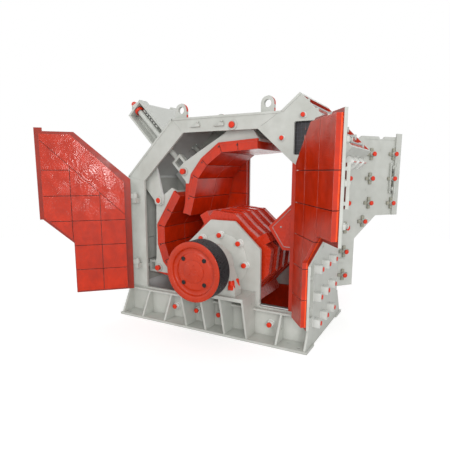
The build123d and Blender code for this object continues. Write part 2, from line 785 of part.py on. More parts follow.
# Lower adjusting rods
lower_reach = lower_lug[0] - housing_left
with BuildPart() as lower_rods:
    rod(lower_lug, (-1.0, 0.0), lower_frame_near, lower_frame_far, lower_reach + lower_rod_reach,
        lower_reach + lower_bracket_length + bracket_plate + rod_nut_seat)
save(lower_rods.part, "lower_rods")

# Upper adjuster brackets: two flanges, a slotted web, an end plate bored for each rod, and a plate across
web_y = rod_half_spacing - rod_radius - rod_hole_gap - bracket_plate


def on_wall(*places):
    """Points given by station beside the adjusters' middle line and height above the sloping wall."""
    return [chamfer_point(adjuster_station + station, height) for station, height in places]


with BuildPart() as upper_brackets:
    half = bracket_half_width
    length = bracket_length
    for side in both_sides:
        low, high = span(side, web_y, web_y + bracket_depth)
        for edge in (-half, half - bracket_plate):
            slab(on_wall((edge, 0), (edge + bracket_plate, 0), (edge + bracket_plate, length), (edge, length)),
                 low, high)
        web_low, web_high = span(side, web_y, web_y + bracket_plate)
        slab(on_wall((-half, 0), (half, 0), (half, length), (-half, length)), web_low, web_high)
        for index in range(bracket_slots):
            near = bracket_slot_first + index * bracket_slot_pitch
            far = near + bracket_slot_length
            slab(on_wall((bracket_slot_low, near), (bracket_slot_high, near), (bracket_slot_high, far),
                         (bracket_slot_low, far)), web_low, web_high, Mode.SUBTRACT)
        slab(on_wall((-half, length), (half, length), (half, length + bracket_plate),
                     (-half, length + bracket_plate)), low, high)
        x, z = chamfer_point(adjuster_station, bracket_length)
        with BuildSketch(Plane(origin=(x, side * rod_half_spacing, z), x_dir=(0, 1, 0),
                               z_dir=(chamfer_out[0], 0, chamfer_out[1]))):
            Circle(rod_radius + rod_hole_gap)
        extrude(amount=bracket_plate, both=True, mode=Mode.SUBTRACT)
    slab(on_wall((half - bracket_plate, cross_plate_near), (half, cross_plate_near), (half, cross_plate_far),
                 (half - bracket_plate, cross_plate_far)), -web_y, web_y)
save(upper_brackets.part, "upper_brackets")

# Lower adjuster brackets on the left end wall
with BuildPart() as lower_brackets:
    for side in both_sides:
        low, high = span(side, web_y, web_y + bracket_depth)
        far = housing_left - lower_bracket_length
        for edge in (-lower_bracket_half, lower_bracket_half - bracket_plate):
            z0 = lower_lug[1] + edge
            slab([(far, z0), (housing_left, z0), (housing_left, z0 + bracket_plate), (far, z0 + bracket_plate)],
                 low, high)
        slab([(far - bracket_plate, lower_lug[1] - lower_bracket_half), (far, lower_lug[1] - lower_bracket_half),
              (far, lower_lug[1] + lower_bracket_half), (far - bracket_plate, lower_lug[1] + lower_bracket_half)],
             low, high)
        with BuildSketch(Plane.YZ.offset(far - bracket_plate)):
            with Locations((side * rod_half_spacing, lower_lug[1])):
                Circle(rod_radius + rod_hole_gap)
        extrude(amount=bracket_plate, mode=Mode.SUBTRACT)
save(lower_brackets.part, "lower_brackets")


def doorway(hand):
    """Clear opening behind one door, counter-clockwise in X and Z."""
    top_left = shaft_x - bearing_plate_top_half
    top_right = shaft_x + bearing_plate_top_half
    if hand < 0:
        return [(opening_left, sill_height), (plate_left, sill_height), (plate_left, bearing_plate_shoulder),
                (top_left, bearing_plate_top), (door_meeting_x, opening_top), (opening_top_left, opening_top),
                (opening_left, opening_shoulder)]
    return [(plate_right, sill_height), (opening_right, sill_height), (opening_right, opening_right_shoulder),
            (opening_top_right, opening_top), (door_meeting_x, opening_top), (door_meeting_x, bearing_plate_top),
            (top_right, bearing_plate_top), (plate_right, bearing_plate_shoulder)]


def door_outline(hand):
    """Door plate at the closed place: it laps the posts, the beams and the bearing plate's slopes."""
    foot = sill_height - door_foot
    top = opening_top + door_top_lap
    meeting = door_meeting_x + hand * door_meeting_gap / 2
    slope_foot = bearing_plate_shoulder - door_plate_lap
    slope_top = bearing_plate_top - door_plate_lap
    if hand < 0:
        hinge_edge = opening_left - door_lap
        return [(hinge_edge, foot), (plate_left - door_edge_gap, foot), (plate_left - door_edge_gap, slope_foot),
                (meeting, slope_top), (meeting, top), (opening_top_left - door_slope_lap, top),
                (hinge_edge, opening_shoulder + door_slope_lap)]
    hinge_edge = opening_right + door_lap
    return [(hinge_edge, foot), (hinge_edge, opening_right_shoulder + door_slope_lap),
            (opening_top_right + door_slope_lap, top), (upper_pivot_x + notch_half, top),
            (upper_pivot_x + notch_half / 2, top - notch_depth), (upper_pivot_x - notch_half / 2, top - notch_depth),
            (upper_pivot_x - notch_half, top), (meeting, top), (meeting, slope_top),
            (shaft_x + bearing_plate_top_half, slope_top), (plate_right + door_edge_gap, slope_foot),
            (plate_right + door_edge_gap, foot)]


def swing(solid, hand, side, turn):
    """Turn a closed door about its hinge pin."""
    return solid.rotate(Axis((hinge_xs[hand], side * hinge_y, 0), (0, 0, 1)), turn)


def door(hand, side, turn, strip):
    """Door plate, hinge straps, barrels, handle and meeting strip, made closed and then swung open."""
    seat = housing_half_width + door_seat_gap
    face = seat + door_plate
    pin_x = hinge_xs[hand]
    meeting = door_meeting_x + hand * door_meeting_gap / 2
    with BuildPart() as leaf:
        slab(door_outline(hand), *span(side, seat, face))
        for z in hinge_heights:
            low = z + hinge_block_height / 2 + hinge_gap
            high = low + hinge_barrel_height - hinge_gap
            upright(pin_x, side * hinge_y, low, high - low, hinge_barrel_radius)
            x_low, x_high = sorted((pin_x, pin_x - hand * strap_length))
            block(x_low, x_high, *span(side, face, face + strap_thickness), low, high)
            upright(pin_x, side * hinge_y, low, high - low, hinge_pin_radius + pin_clearance, Mode.SUBTRACT)
        bar_x = meeting + hand * handle_inset
        bar_out = face + handle_stand_off
        block(bar_x - handle_half, bar_x + handle_half, *span(side, bar_out, bar_out + 2 * handle_half),
              handle_low, handle_high)
        for z in (handle_low + handle_post, handle_high - 2 * handle_post):
            block(bar_x - handle_half, bar_x + handle_half, *span(side, face, bar_out), z, z + handle_post)
        if strip:
            foot = bearing_plate_top - door_plate_lap
            top = opening_top + door_top_lap
            own_low, own_high = sorted((meeting, meeting + hand * strip_reach))
            block(own_low, own_high, *span(side, face, face + strip_spacer), foot, top)
            over_low, over_high = sorted((meeting - hand * strip_reach, meeting + hand * strip_reach))
            block(over_low, over_high, *span(side, face + strip_spacer, face + strip_spacer + strip_plate),
                  foot, top + strip_rise)
    return swing(leaf.part, hand, side, turn)


def door_liners(hand, side, turn):
    """Liner tiles on the door's inner face, split where the real tiles meet."""
    low, high = span(side, housing_half_width + door_seat_gap - door_liner, housing_half_width + door_seat_gap)
    edge = inset(doorway(hand), door_liner_margin)
    left = min(x for x, z in edge)
    right = max(x for x, z in edge)
    bottom = min(z for x, z in edge)
    columns = tile_columns_left if hand < 0 else tile_columns_right
    with BuildPart() as tiles:
        slab(edge, low, high)
        for index, z in enumerate(tile_rows):
            ends = (left, right)
            if hand < 0 and index > 2:
                ends = (columns[index - 3], right)
            slab([(ends[0], z), (ends[1], z), (ends[1], z + tile_gap), (ends[0], z + tile_gap)], low, high,
                 Mode.SUBTRACT)
        slope = (brace_end[1] - brace_start[1]) / (brace_end[0] - brace_start[0])
        for x in columns:
            top = brace_start[1] + (x - brace_start[0]) * slope if hand < 0 else opening_top
            slab([(x, bottom), (x + tile_gap, bottom), (x + tile_gap, top), (x, top)], low, high, Mode.SUBTRACT)
        if hand < 0:
            slab([brace_start, (brace_start[0], brace_start[1] + tile_gap), (brace_end[0], brace_end[1] + tile_gap),
                  brace_end], low, high, Mode.SUBTRACT)
    return swing(tiles.part, hand, side, turn)


doors = {
    "front_left": (-1, -1, -open_front_left, True),
    "front_right": (1, -1, open_front_right, False),
    "back_right": (1, 1, -open_back_right, True),
    "back_left": (-1, 1, 0.0, False),
}
for name, (hand, side, turn, strip) in doors.items():
    save(door(hand, side, turn, strip), f"{name}_door")
    save(door_liners(hand, side, turn), f"{name}_door_liners")
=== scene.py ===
"""Looks of the impact crusher: paint, bolts, welds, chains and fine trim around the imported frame."""

import math
import random

import bmesh
import bpy
from mathutils import Matrix, Vector


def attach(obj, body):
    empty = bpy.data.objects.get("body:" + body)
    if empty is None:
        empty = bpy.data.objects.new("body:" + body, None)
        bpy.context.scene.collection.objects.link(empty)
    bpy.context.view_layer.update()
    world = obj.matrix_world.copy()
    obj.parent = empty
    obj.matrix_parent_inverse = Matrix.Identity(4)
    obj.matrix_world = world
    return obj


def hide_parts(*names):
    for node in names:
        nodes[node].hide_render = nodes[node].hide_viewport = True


bl_info = {
    "name": "Impact crusher looks",
    "version": (1, 0, 0),
    "blender": (4, 5, 0),
    "location": "3D View > Sidebar > Crusher",
    "description": "Paint, fasteners, welds and chains for an impact crusher",
    "category": "Object",
}

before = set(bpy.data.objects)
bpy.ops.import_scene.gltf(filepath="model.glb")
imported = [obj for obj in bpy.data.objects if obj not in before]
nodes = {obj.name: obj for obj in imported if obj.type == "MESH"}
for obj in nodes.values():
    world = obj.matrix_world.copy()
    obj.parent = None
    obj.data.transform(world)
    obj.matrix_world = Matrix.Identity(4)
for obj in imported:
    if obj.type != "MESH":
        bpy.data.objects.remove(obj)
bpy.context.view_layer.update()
finishes = {}


class CrusherColours(bpy.types.PropertyGroup):
    """Colours of the finishes, as sRGB hex values."""

    cream_enamel: bpy.props.StringProperty(name="Cream enamel", description="Paint of the housing", default="#C8CAC4")
    cream_shade: bpy.props.StringProperty(name="Thin cream enamel", description="Where the spray went thin",
                                          default="#BCBEB7")
    red_enamel: bpy.props.StringProperty(name="Red enamel", description="Paint of liners, rotor and caps",
                                         default="#CE300A")
    red_shade: bpy.props.StringProperty(name="Thick red enamel", description="Where the brush left it thick",
                                        default="#B3290D")
    # Black of the grooves, also used as painted shade behind the window, in the comb's slots and in the pulley's bolt
    # holes.
    black_and_painted_shade: bpy.props.StringProperty(name="Groove black", description="Paint of the pulley's grooves",
                                           default="#0C0C0D")
    turned_steel: bpy.props.StringProperty(name="Turned steel", description="Bare shaft", default="#A3A3A6")
    plated_steel: bpy.props.StringProperty(name="Plated steel", description="Washers and rods", default="#B4B6B6")
    # Pale corner colour: thin worn paint, and painted glints where corners catch the light.
    worn_edge_and_glint: bpy.props.StringProperty(name="Rubbed edge", description="Thin red enamel on worn corners",
                                          default="#E9C9C2")
    # Dust colour: stains on the bare steel, and painted shade in the corners of the enamel.
    dust_and_corner_shade: bpy.props.StringProperty(name="Dust", description="Dust and grease in the corners", default="#55514A")
    floor: bpy.props.StringProperty(name="Floor", description="Pale studio floor", default="#E6E6E6")


class CrusherSizes(bpy.types.PropertyGroup):
    """Sizes of the small parts."""

    cap_radius: bpy.props.FloatProperty(name="Cap radius", description="Red cap on a liner bolt", default=0.030,
                                        unit="LENGTH")
    stud_length: bpy.props.FloatProperty(name="Stud length", description="Liner bolt proud of the wall",
                                         default=0.074, unit="LENGTH")
    nut_radius: bpy.props.FloatProperty(name="Nut radius", description="Across the corners of a liner bolt's nut",
                                        default=0.044, unit="LENGTH")
    bead_radius: bpy.props.FloatProperty(name="Weld bead", description="Half width of a weld", default=0.006,
                                         unit="LENGTH")
    link_length: bpy.props.FloatProperty(name="Chain link", description="Outside length of a curtain link",
                                         default=0.062, unit="LENGTH")
    link_wire: bpy.props.FloatProperty(name="Chain wire", description="Radius of the curtain chain's wire",
                                       default=0.0055, unit="LENGTH")
    sun_strength: bpy.props.FloatProperty(name="Key light", description="Strength of the key sun", default=0.45, min=0)
    front_power: bpy.props.FloatProperty(name="Front light", description="Soft light behind the camera", default=38.0,
                                         min=0, unit="POWER")


def colour(text):
    """Linear colour of an sRGB hex value."""
    values = [int(text[i:i + 2], 16) / 255 for i in (1, 3, 5)]
    return [v / 12.92 if v <= 0.04045 else ((v + 0.055) / 1.055) ** 2.4 for v in values] + [1.0]


def add(tree, kind, settings=None, links=None):
    """Add a shader node, set its properties and socket values, and link its inputs to sockets or to nodes."""
    node = tree.nodes.new("ShaderNode" + kind)
    for key, value in (settings or {}).items():
        if isinstance(key, int) or key in node.inputs:
            node.inputs[key].default_value = value
        else:
            setattr(node, key, value)
    for key, source in (links or {}).items():
        if isinstance(source, bpy.types.Node):
            source = next(socket for socket in source.outputs if socket.enabled)
        tree.links.new(source, node.inputs[key])
    return node


def blank(name):
    """New material with an empty node tree."""
    material = bpy.data.materials.new(name)
    material.use_nodes = True
    material.node_tree.nodes.clear()
    return material, material.node_tree


def enamel(name, base, thick, roughness, cloud_mm, streak, lump_mm, lump_height_mm, corner_shade, second=None, mask=None,
           swirl_mm=0, edge_wear_and_glint=0.0):
    """Glossy alkyd enamel on plate: cloudy tone, brush or spray lumps, soft edges, and painted shade in the corners,
    speckled like dust.
    """
    shades = finishes["colours"]
    material, tree = blank(name)
    place = add(tree, "TexCoord").outputs["Object"]
    cloud = add(tree, "TexNoise", {"Scale": 1000 / cloud_mm, "Detail": 4.0, "Roughness": 0.6}, {"Vector": place})
    spread = add(tree, "Mapping", {"Scale": (1.0, 1.0, 1.0 - 0.85 * streak)}, {"Vector": place})
    brush = add(tree, "TexNoise", {"Scale": 3600 / cloud_mm, "Detail": 5.0, "Distortion": 1.4 * streak},
                {"Vector": spread})
    both = add(tree, "Math", {"operation": "MULTIPLY"}, {0: cloud, 1: brush})
    tone = add(tree, "MapRange", {"From Min": 0.12, "From Max": 0.36, "To Min": 1.0, "To Max": 0.0}, {"Value": both})
    shown = add(tree, "Mix", {"data_type": "RGBA", 6: colour(base), 7: colour(thick)}, {"Factor": tone})
    if second:
        other = add(tree, "Mix", {"data_type": "RGBA", 6: colour(second[0]), 7: colour(second[1])}, {"Factor": tone})
        shown = add(tree, "Mix", {"data_type": "RGBA"}, {"Factor": mask(tree, place), 6: shown, 7: other})
    # Painted shade: corners found by ambient occlusion are darkened towards the dust colour, broken up by the clouds
    # like dust.
    corner = add(tree, "AmbientOcclusion", {"samples": 6, "Distance": 0.09}).outputs["AO"]
    shade_and_dust = add(tree, "MapRange", {"From Min": 0.25, "From Max": 0.8, "To Min": corner_shade, "To Max": 0.0},
                {"Value": corner})
    speckled_shade_and_dust = add(tree, "Math", {"operation": "MULTIPLY"}, {0: shade_and_dust, 1: cloud})
    shown = add(tree, "Mix", {"data_type": "RGBA", 7: colour(shades.dust_and_corner_shade)}, {"Factor": speckled_shade_and_dust, 6: shown})
    lumps = add(tree, "TexNoise", {"Scale": 1000 / lump_mm, "Detail": 3.0, "Distortion": 0.8}, {"Vector": spread})
    soft = add(tree, "Bevel", {"samples": 4, "Radius": 0.004})
    if swirl_mm:
        # Bristle marks run in arcs round each patch that was brushed. Real ones are 2 mm apart, and these are drawn
        # coarser so that they show.
        bristle_mm = 18
        patch = add(tree, "TexVoronoi", {"Scale": 1000 / swirl_mm, "Randomness": 0.7}, {"Vector": place})
        waver = add(tree, "Math", {"operation": "MULTIPLY", 1: 14.0}, {0: brush})
        arcs = add(tree, "Math", {"operation": "MULTIPLY_ADD", 1: math.tau * swirl_mm / bristle_mm},
                   {0: patch, 2: waver})
        arcs = add(tree, "Math", {"operation": "SINE"}, {0: arcs})
        lumps = add(tree, "Math", {"operation": "MULTIPLY_ADD", 1: 0.16}, {0: arcs, 2: lumps})
    bump = add(tree, "Bump", {"Strength": 1.0, "Distance": lump_height_mm / 1000}, {"Height": lumps, "Normal": soft})
    if edge_wear_and_glint:
        # Paint is thin on the corners and they catch the light: pale broken lines painted on them are partly wear and
        # partly painted glints.
        flat = add(tree, "NewGeometry").outputs["Normal"]
        bend = add(tree, "VectorMath", {"operation": "DOT_PRODUCT"}, {0: flat, 1: soft})
        worn_and_glinting_edges = add(tree, "MapRange", {"From Min": 0.985, "From Max": 0.90, "To Min": 0.0, "To Max": edge_wear_and_glint},
                     {"Value": bend})
        worn_and_glinting_edges = add(tree, "Math", {"operation": "MULTIPLY"}, {0: worn_and_glinting_edges, 1: brush})
        shown = add(tree, "Mix", {"data_type": "RGBA", 7: colour(shades.worn_edge_and_glint)}, {"Factor": worn_and_glinting_edges, 6: shown})
    gloss = add(tree, "MapRange", {"From Min": 0.25, "From Max": 0.75, "To Min": roughness - 0.08,
                                   "To Max": roughness + 0.12}, {"Value": brush})
    shader = add(tree, "BsdfPrincipled", {"IOR": 1.5, "Metallic": 0.0},
                 {"Base Color": shown, "Roughness": gloss, "Normal": bump})
    add(tree, "OutputMaterial", links={"Surface": shader})
    return material


def facing_inwards(tree, place):
    """Mask for faces that look towards the middle plane of the housing."""
    normal = add(tree, "SeparateXYZ", links={"Vector": add(tree, "TexCoord").outputs["Normal"]})
    side = add(tree, "SeparateXYZ", links={"Vector": place})
    sign = add(tree, "Math", {"operation": "SIGN"}, {0: side.outputs["Y"]})
    look = add(tree, "Math", {"operation": "MULTIPLY"}, {0: sign, 1: normal.outputs["Y"]})
    return add(tree, "Math", {"operation": "LESS_THAN", 1: -0.5}, {0: look})


def along(tree, place, direction, limit):
    """1 where a vector reaches further than a limit along a direction."""
    reach = add(tree, "VectorMath", {"operation": "DOT_PRODUCT", 1: direction}, {0: place})
    return add(tree, "Math", {"operation": "GREATER_THAN", 1: limit}, {0: reach})


def inside_of_door(inward, outward, hinge):
    """Mask for the inner face of a door, past its hinge line or away from its hinges."""
    def mask(tree, place):
        normal = add(tree, "TexCoord").outputs["Normal"]
        behind = along(tree, place, inward, inward.dot(hinge) + 0.035)
        away = along(tree, place, outward, outward.dot(hinge) + 0.45)
        part = add(tree, "Math", {"operation": "MAXIMUM"}, {0: behind, 1: away})
        faces = along(tree, normal, inward, 0.5)
        return add(tree, "Math", {"operation": "MULTIPLY"}, {0: faces, 1: part})
    return mask


def free_edge(inward, outward, hinge):
    """Mask for the liners' edge towards the free edge of an open door, on the half next to the plate."""
    def mask(tree, place):
        edge = along(tree, add(tree, "TexCoord").outputs["Normal"], outward, 0.6)
        near = along(tree, place, -inward, -inward.dot(hinge) - 0.064)
        return add(tree, "Math", {"operation": "MULTIPLY"}, {0: edge, 1: near})
    return mask


def beside_opening(tree, place):
    """Mask for the margin of the right posts that the liners overlap."""
    return along(tree, place, Vector((-1, 0, 0)), -1.052)


def rubbed_lands(tree, place):
    """Mask for the lands between the pulley's grooves, which the belts rub grey."""
    centred = add(tree, "VectorMath", {"operation": "SUBTRACT", 1: SHAFT}, {0: place})
    flat = add(tree, "VectorMath", {"operation": "MULTIPLY", 1: (1, 0, 1)}, {0: centred})
    reach = add(tree, "VectorMath", {"operation": "LENGTH"}, {0: flat})
    return add(tree, "Math", {"operation": "GREATER_THAN", 1: 0.326}, {0: reach})


def facing_shaft(tree, place):
    """Mask for faces that look towards the rotor shaft."""
    normal = add(tree, "TexCoord").outputs["Normal"]
    way = add(tree, "VectorMath", {"operation": "SUBTRACT", 0: SHAFT}, {1: place})
    look = add(tree, "VectorMath", {"operation": "DOT_PRODUCT"}, {0: way, 1: normal})
    return add(tree, "Math", {"operation": "GREATER_THAN", 1: 0.1}, {0: look})


def facing_down(tree, place):
    """Mask for faces that look down."""
    return along(tree, add(tree, "TexCoord").outputs["Normal"], Vector((0, 0, -1)), 0.4)


def backing_edge(height):
    """Mask for the edges of an apron's backing plate and for its side plates below a height."""
    def mask(tree, place):
        split = add(tree, "SeparateXYZ", links={"Vector": place})
        out = add(tree, "Math", {"operation": "ABSOLUTE"}, {0: split.outputs["Y"]})
        edge = add(tree, "Math", {"operation": "GREATER_THAN", 1: 0.427}, {0: out})
        low = add(tree, "Math", {"operation": "LESS_THAN", 1: height}, {0: split.outputs["Z"]})
        return add(tree, "Math", {"operation": "MAXIMUM"}, {0: edge, 1: low})
    return mask


def metal(name, base, roughness, ring_mm):
    """Machined steel with fine tool rings that catch the light along the cut."""
    material, tree = blank(name)
    place = add(tree, "TexCoord").outputs["Object"]
    rings = add(tree, "TexWave", {"wave_type": "BANDS", "bands_direction": "Y", "Scale": 160 / ring_mm,
                                  "Distortion": 1.0, "Detail": 2.0}, {"Vector": place}).outputs["Fac"]
    stain = add(tree, "TexNoise", {"Scale": 9.0, "Detail": 6.0}, {"Vector": place})
    dull = add(tree, "MapRange", {"From Min": 0.5, "From Max": 0.8, "To Min": 0.0, "To Max": 0.35}, {"Value": stain})
    tone = add(tree, "Mix", {"data_type": "RGBA", 6: colour(base), 7: colour(finishes["colours"].dust_and_corner_shade)},
               {"Factor": dull})
    soft = add(tree, "Bevel", {"samples": 4, "Radius": 0.003})
    bump = add(tree, "Bump", {"Strength": 0.3, "Distance": 0.0006}, {"Height": rings, "Normal": soft})
    gloss = add(tree, "MapRange", {"To Min": roughness, "To Max": roughness + 0.2}, {"Value": stain})
    shader = add(tree, "BsdfPrincipled", {"Metallic": 1.0}, {"Base Color": tone, "Roughness": gloss, "Normal": bump})
    add(tree, "OutputMaterial", links={"Surface": shader})
    return material


def metres(*values):
    """Vector in metres from millimetres."""
    return Vector([value / 1000 for value in values])


def spoke(degrees):
    """Unit vector square to the shaft, at an angle from the x axis."""
    return Vector((math.cos(math.radians(degrees)), 0, math.sin(math.radians(degrees))))


def placed(name, data):
    """New object in the scene for a mesh, a lamp or the camera."""
    thing = bpy.data.objects.new(name, data)
    bpy.context.scene.collection.objects.link(thing)
    return thing


def meshes(count):
    """Empty meshes to build pieces in."""
    return [bmesh.new() for _ in range(count)]


def finished(name, mesh, body, material, sharp=35.0):
    """Turn a mesh under construction into a piece that rides on a body."""
    data = bpy.data.meshes.new(name)
    bmesh.ops.recalc_face_normals(mesh, faces=mesh.faces)
    mesh.to_mesh(data)
    mesh.free()
    data.materials.append(finishes[material])
    data.polygons.foreach_set("use_smooth", [True] * len(data.polygons))
    data.set_sharp_from_angle(angle=math.radians(sharp))
    piece = placed(name, data)
    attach(piece, body)
    return piece


def turned(mesh, profile, at, axis, segments=20):
    """Solid of revolution from (radius, height) pairs, standing on a point along an axis."""
    place = Matrix.Translation(at) @ axis.to_track_quat("Z", "Y").to_matrix().to_4x4()
    rings = []
    for radius, height in profile:
        count = segments if radius else 1
        rings.append([mesh.verts.new(place @ Vector((radius * math.cos(math.tau * i / count),
                                                     radius * math.sin(math.tau * i / count), height)))
                      for i in range(count)])
    for low, high in zip(rings, rings[1:]):
        for i in range(segments):
            corners = [low[i % len(low)], low[(i + 1) % len(low)], high[(i + 1) % len(high)], high[i % len(high)]]
            corners = list(dict.fromkeys(corners))
            if len(corners) > 2:
                mesh.faces.new(corners)


def nut(mesh, at, axis, radius, height):
    """Hexagonal nut with chamfered corners."""
    turned(mesh, [(0, 0), (radius * 0.92, 0), (radius, height * 0.12), (radius, height * 0.88),
                  (radius * 0.92, height), (0, height)], at, axis, 6)


def cap(mesh, at, axis, radius, height):
    """Round cap with a rolled edge and a shallow dome."""
    turned(mesh, [(0, 0), (radius, 0), (radius, height * 0.55), (radius * 0.93, height * 0.82),
                  (radius * 0.75, height * 0.95), (0, height)], at, axis)


def thread(radius, low, high, pitch):
    """Profile of a threaded stud between two heights."""
    count = max(int((high - low) / pitch), 1)
    points = [(0, low), (radius, low)]
    for i in range(count):
        points += [(radius, low + (i + 0.35) * pitch), (radius * 0.9, low + (i + 0.65) * pitch)]
    return points + [(radius, high), (0, high)]


def bar(mesh, low, high, place=None, bevel=0.002):
    """Rectangular bar between two opposite corners, with eased edges."""
    size = Vector([abs(span) for span in high - low])
    matrix = (place or Matrix()) @ Matrix.Translation((low + high) / 2) @ Matrix.Diagonal(size.to_4d())
    made = bmesh.ops.create_cube(mesh, size=1, matrix=matrix)
    edges = dict.fromkeys(edge for vertex in made["verts"] for edge in vertex.link_edges)
    bmesh.ops.bevel(mesh, geom=list(edges), offset=min(bevel, min(size) * 0.3), segments=2, affect="EDGES",
                    profile=0.5)


def bead(mesh, points, radius, sides=6):
    """Weld bead along a line of points, rippled by each pool of the weld."""
    pool = radius * 1.1
    for start, end in zip(points, points[1:]):
        run = end - start
        count = max(int(run.length / pool), 2)
        profile = [(0, 0)]
        for i in range(count + 1):
            swell = 1.0 if i % 2 else 0.8
            profile.append((radius * swell, run.length * i / count))
        turned(mesh, profile + [(0, run.length)], start, run.normalized(), sides)


def weld(mesh, points, y, radius, place=Matrix()):
    """Weld bead along (x, z) points in millimetres on an upright face."""
    bead(mesh, [place @ metres(x, y, z) for x, z in points], radius)


def strip(mesh, points, y_in, y_out, width):
    """Flat bar along a line of (x, z) points in millimetres, from y_in to y_out."""
    for (x0, z0), (x1, z1) in zip(points, points[1:]):
        run = Vector((x1 - x0, 0, z1 - z0)) / 1000
        turn = Matrix.Translation(metres(x0, 0, z0)) @ Matrix.Rotation(-math.atan2(run.z, run.x), 4, "Y")
        bar(mesh, Vector((0, y_in / 1000, -width / 1000)), Vector((run.length, y_out / 1000, 0)), turn)


def link(mesh, centre, tilt, length, wire):
    """One chain link, hanging upright and turned by an angle about the vertical."""
    steps, sides = 12, 5
    place = Matrix.Translation(centre) @ Matrix.Rotation(tilt, 4, "Z")
    half = length / 2 - wire
    width = length * 0.31
    path = []
    for i in range(steps):
        angle = math.tau * i / steps
        path.append(Vector((width * math.cos(angle), 0, (half - width) * (1 if angle < math.pi else -1)
                            + width * math.sin(angle))))
    rings = []
    for i, point in enumerate(path):
        onward = (path[(i + 1) % steps] - path[i - 1]).normalized()
        side = onward.cross(ACROSS)
        rings.append([mesh.verts.new(place @ (point + side * wire * math.cos(math.tau * k / sides)
                                              + ACROSS * wire * math.sin(math.tau * k / sides)))
                      for k in range(sides)])
    for i in range(steps):
        for k in range(sides):
            after = (k + 1) % sides
            mesh.faces.new([rings[i - 1][k], rings[i - 1][after], rings[i][after], rings[i][k]])


# Hand (-1 left, 1 right), side (-1 front, 1 back) and the angle at which each door stands open.
DOORS = {
    "front_left": (-1, -1, -135.0),
    "front_right": (1, -1, 126.5),
    "back_right": (1, 1, -129.0),
    "back_left": (-1, 1, 0.0),
}
# Places in millimetres: hinge pins, outer faces of the side walls and of a closed door, end, foot and roof.
HINGES = {-1: (-1133, 590), 1: (1117, 590)}
WALL, DOOR_FACE = 540, 569.5
END, FOOT, ROOF = 1280, 364, 2542
SHAFT = metres(154, 0, 850)
ACROSS = Vector((0, 1, 0))
SIDES = (-1, Vector((0, -1, 0))), (1, ACROSS)
UP = Vector((0, 0, 1))


def opened(name):
    """Matrix that takes a closed door to the way it stands open."""
    hand, side, turn = DOORS[name]
    x, y = HINGES[hand]
    pin = Matrix.Translation(metres(x, side * y, 0))
    return pin @ Matrix.Rotation(math.radians(turn), 4, "Z") @ pin.inverted()


def faces_of(name):
    """Directions in which an open door's inner face and free edge look, and its hinge."""
    hand, side, turn = DOORS[name]
    x, y = HINGES[hand]
    spin = Matrix.Rotation(math.radians(turn), 3, "Z")
    return spin @ Vector((0, -side, 0)), spin @ Vector((-hand, 0, 0)), metres(x, side * y, 0)


class CRUSHER_OT_stage(bpy.types.Operator):
    """Camera at the photograph's angle, plain soft light and a pale floor"""

    bl_idname = "crusher.stage"
    bl_label = "Stage"

    def execute(self, context):
        scene = context.scene
        scene.view_settings.view_transform = "Standard"
        optics = bpy.data.cameras.new("camera")
        optics.lens, optics.sensor_width, optics.clip_end = 31.98, 36, 200
        optics.shift_x, optics.shift_y = -0.0053, 0.0305
        scene.camera = placed("camera", optics)
        heading, tilt, roll = (math.radians(angle) for angle in (28.641, 90 - 9.468, 0.147))
        scene.camera.matrix_world = (Matrix.Translation((2.4586, -4.6365, 1.9023)) @ Matrix.Rotation(heading, 4, "Z")
                                     @ Matrix.Rotation(tilt, 4, "X") @ Matrix.Rotation(roll, 4, "Z"))
        suns = (("key", (-0.05, -0.80, 0.60), finishes["sizes"].sun_strength, 30),
                ("fill", (0.62, -0.75, 0.22), 1.05, 20), ("back", (-0.5, 0.75, 0.45), 0.4, 60))
        for name, direction, strength, spread in suns:
            lamp = bpy.data.lights.new(name, "SUN")
            lamp.energy, lamp.angle = strength, math.radians(spread)
            sun = placed(name, lamp)
            sun.rotation_euler = Vector(direction).to_track_quat("Z", "Y").to_euler()
            sun.visible_glossy = name != "fill"
        lamp = bpy.data.lights.new("front", "AREA")
        lamp.shape, lamp.size, lamp.size_y = "RECTANGLE", 0.7, 0.5
        lamp.energy = finishes["sizes"].front_power
        front = placed("front", lamp)
        front.location = (2.60, -4.72, 2.25)
        target = Vector((0, 0, 1.2))
        front.rotation_euler = (front.location - target).to_track_quat("Z", "Y").to_euler()
        scene.world = scene.world or bpy.data.worlds.new("studio")
        scene.world.use_nodes = True
        tree = scene.world.node_tree
        tree.nodes.clear()
        rays = add(tree, "LightPath").outputs
        seen = add(tree, "Math", {"operation": "MAXIMUM"}, {0: rays["Is Camera Ray"], 1: rays["Is Glossy Ray"]})
        seen = add(tree, "Math", {"operation": "MAXIMUM"}, {0: seen, 1: rays["Is Transmission Ray"]})
        level = add(tree, "MapRange", {"To Min": 0.54, "To Max": 1.0}, {"Value": seen})
        white = add(tree, "Background", {"Color": (1, 1, 1, 1)}, {"Strength": level})
        add(tree, "OutputWorld", links={"Surface": white})
        mesh = bmesh.new()
        turned(mesh, [(0, 0)] + [(ring, 0) for ring in (2, 4, 7, 11, 16)], Vector((0, 0, -0.001)), UP, 48)
        data = bpy.data.meshes.new("floor")
        mesh.to_mesh(data)
        mesh.free()
        floor = placed("floor", data)
        material, tree = blank("pale_studio_vinyl")
        far = add(tree, "VectorMath", {"operation": "LENGTH"}, {0: add(tree, "TexCoord").outputs["Object"]})
        fade = add(tree, "MapRange", {"From Min": 3.0, "From Max": 9.0}, {"Value": far})
        seen = add(tree, "LightPath").outputs["Is Camera Ray"]
        lift = add(tree, "Math", {"operation": "MULTIPLY", 1: 0.5}, {0: seen})
        matt = add(tree, "BsdfDiffuse", {"Color": colour(finishes["colours"].floor)})
        glow = add(tree, "Emission", {"Color": (1, 1, 1, 1)}, {"Strength": lift})
        lit = add(tree, "AddShader", links={0: matt, 1: glow})
        clear = add(tree, "BsdfTransparent")
        edge = add(tree, "MixShader", links={0: fade, 1: lit, 2: clear})
        add(tree, "OutputMaterial", links={"Surface": edge})
        data.materials.append(material)
        return {"FINISHED"}


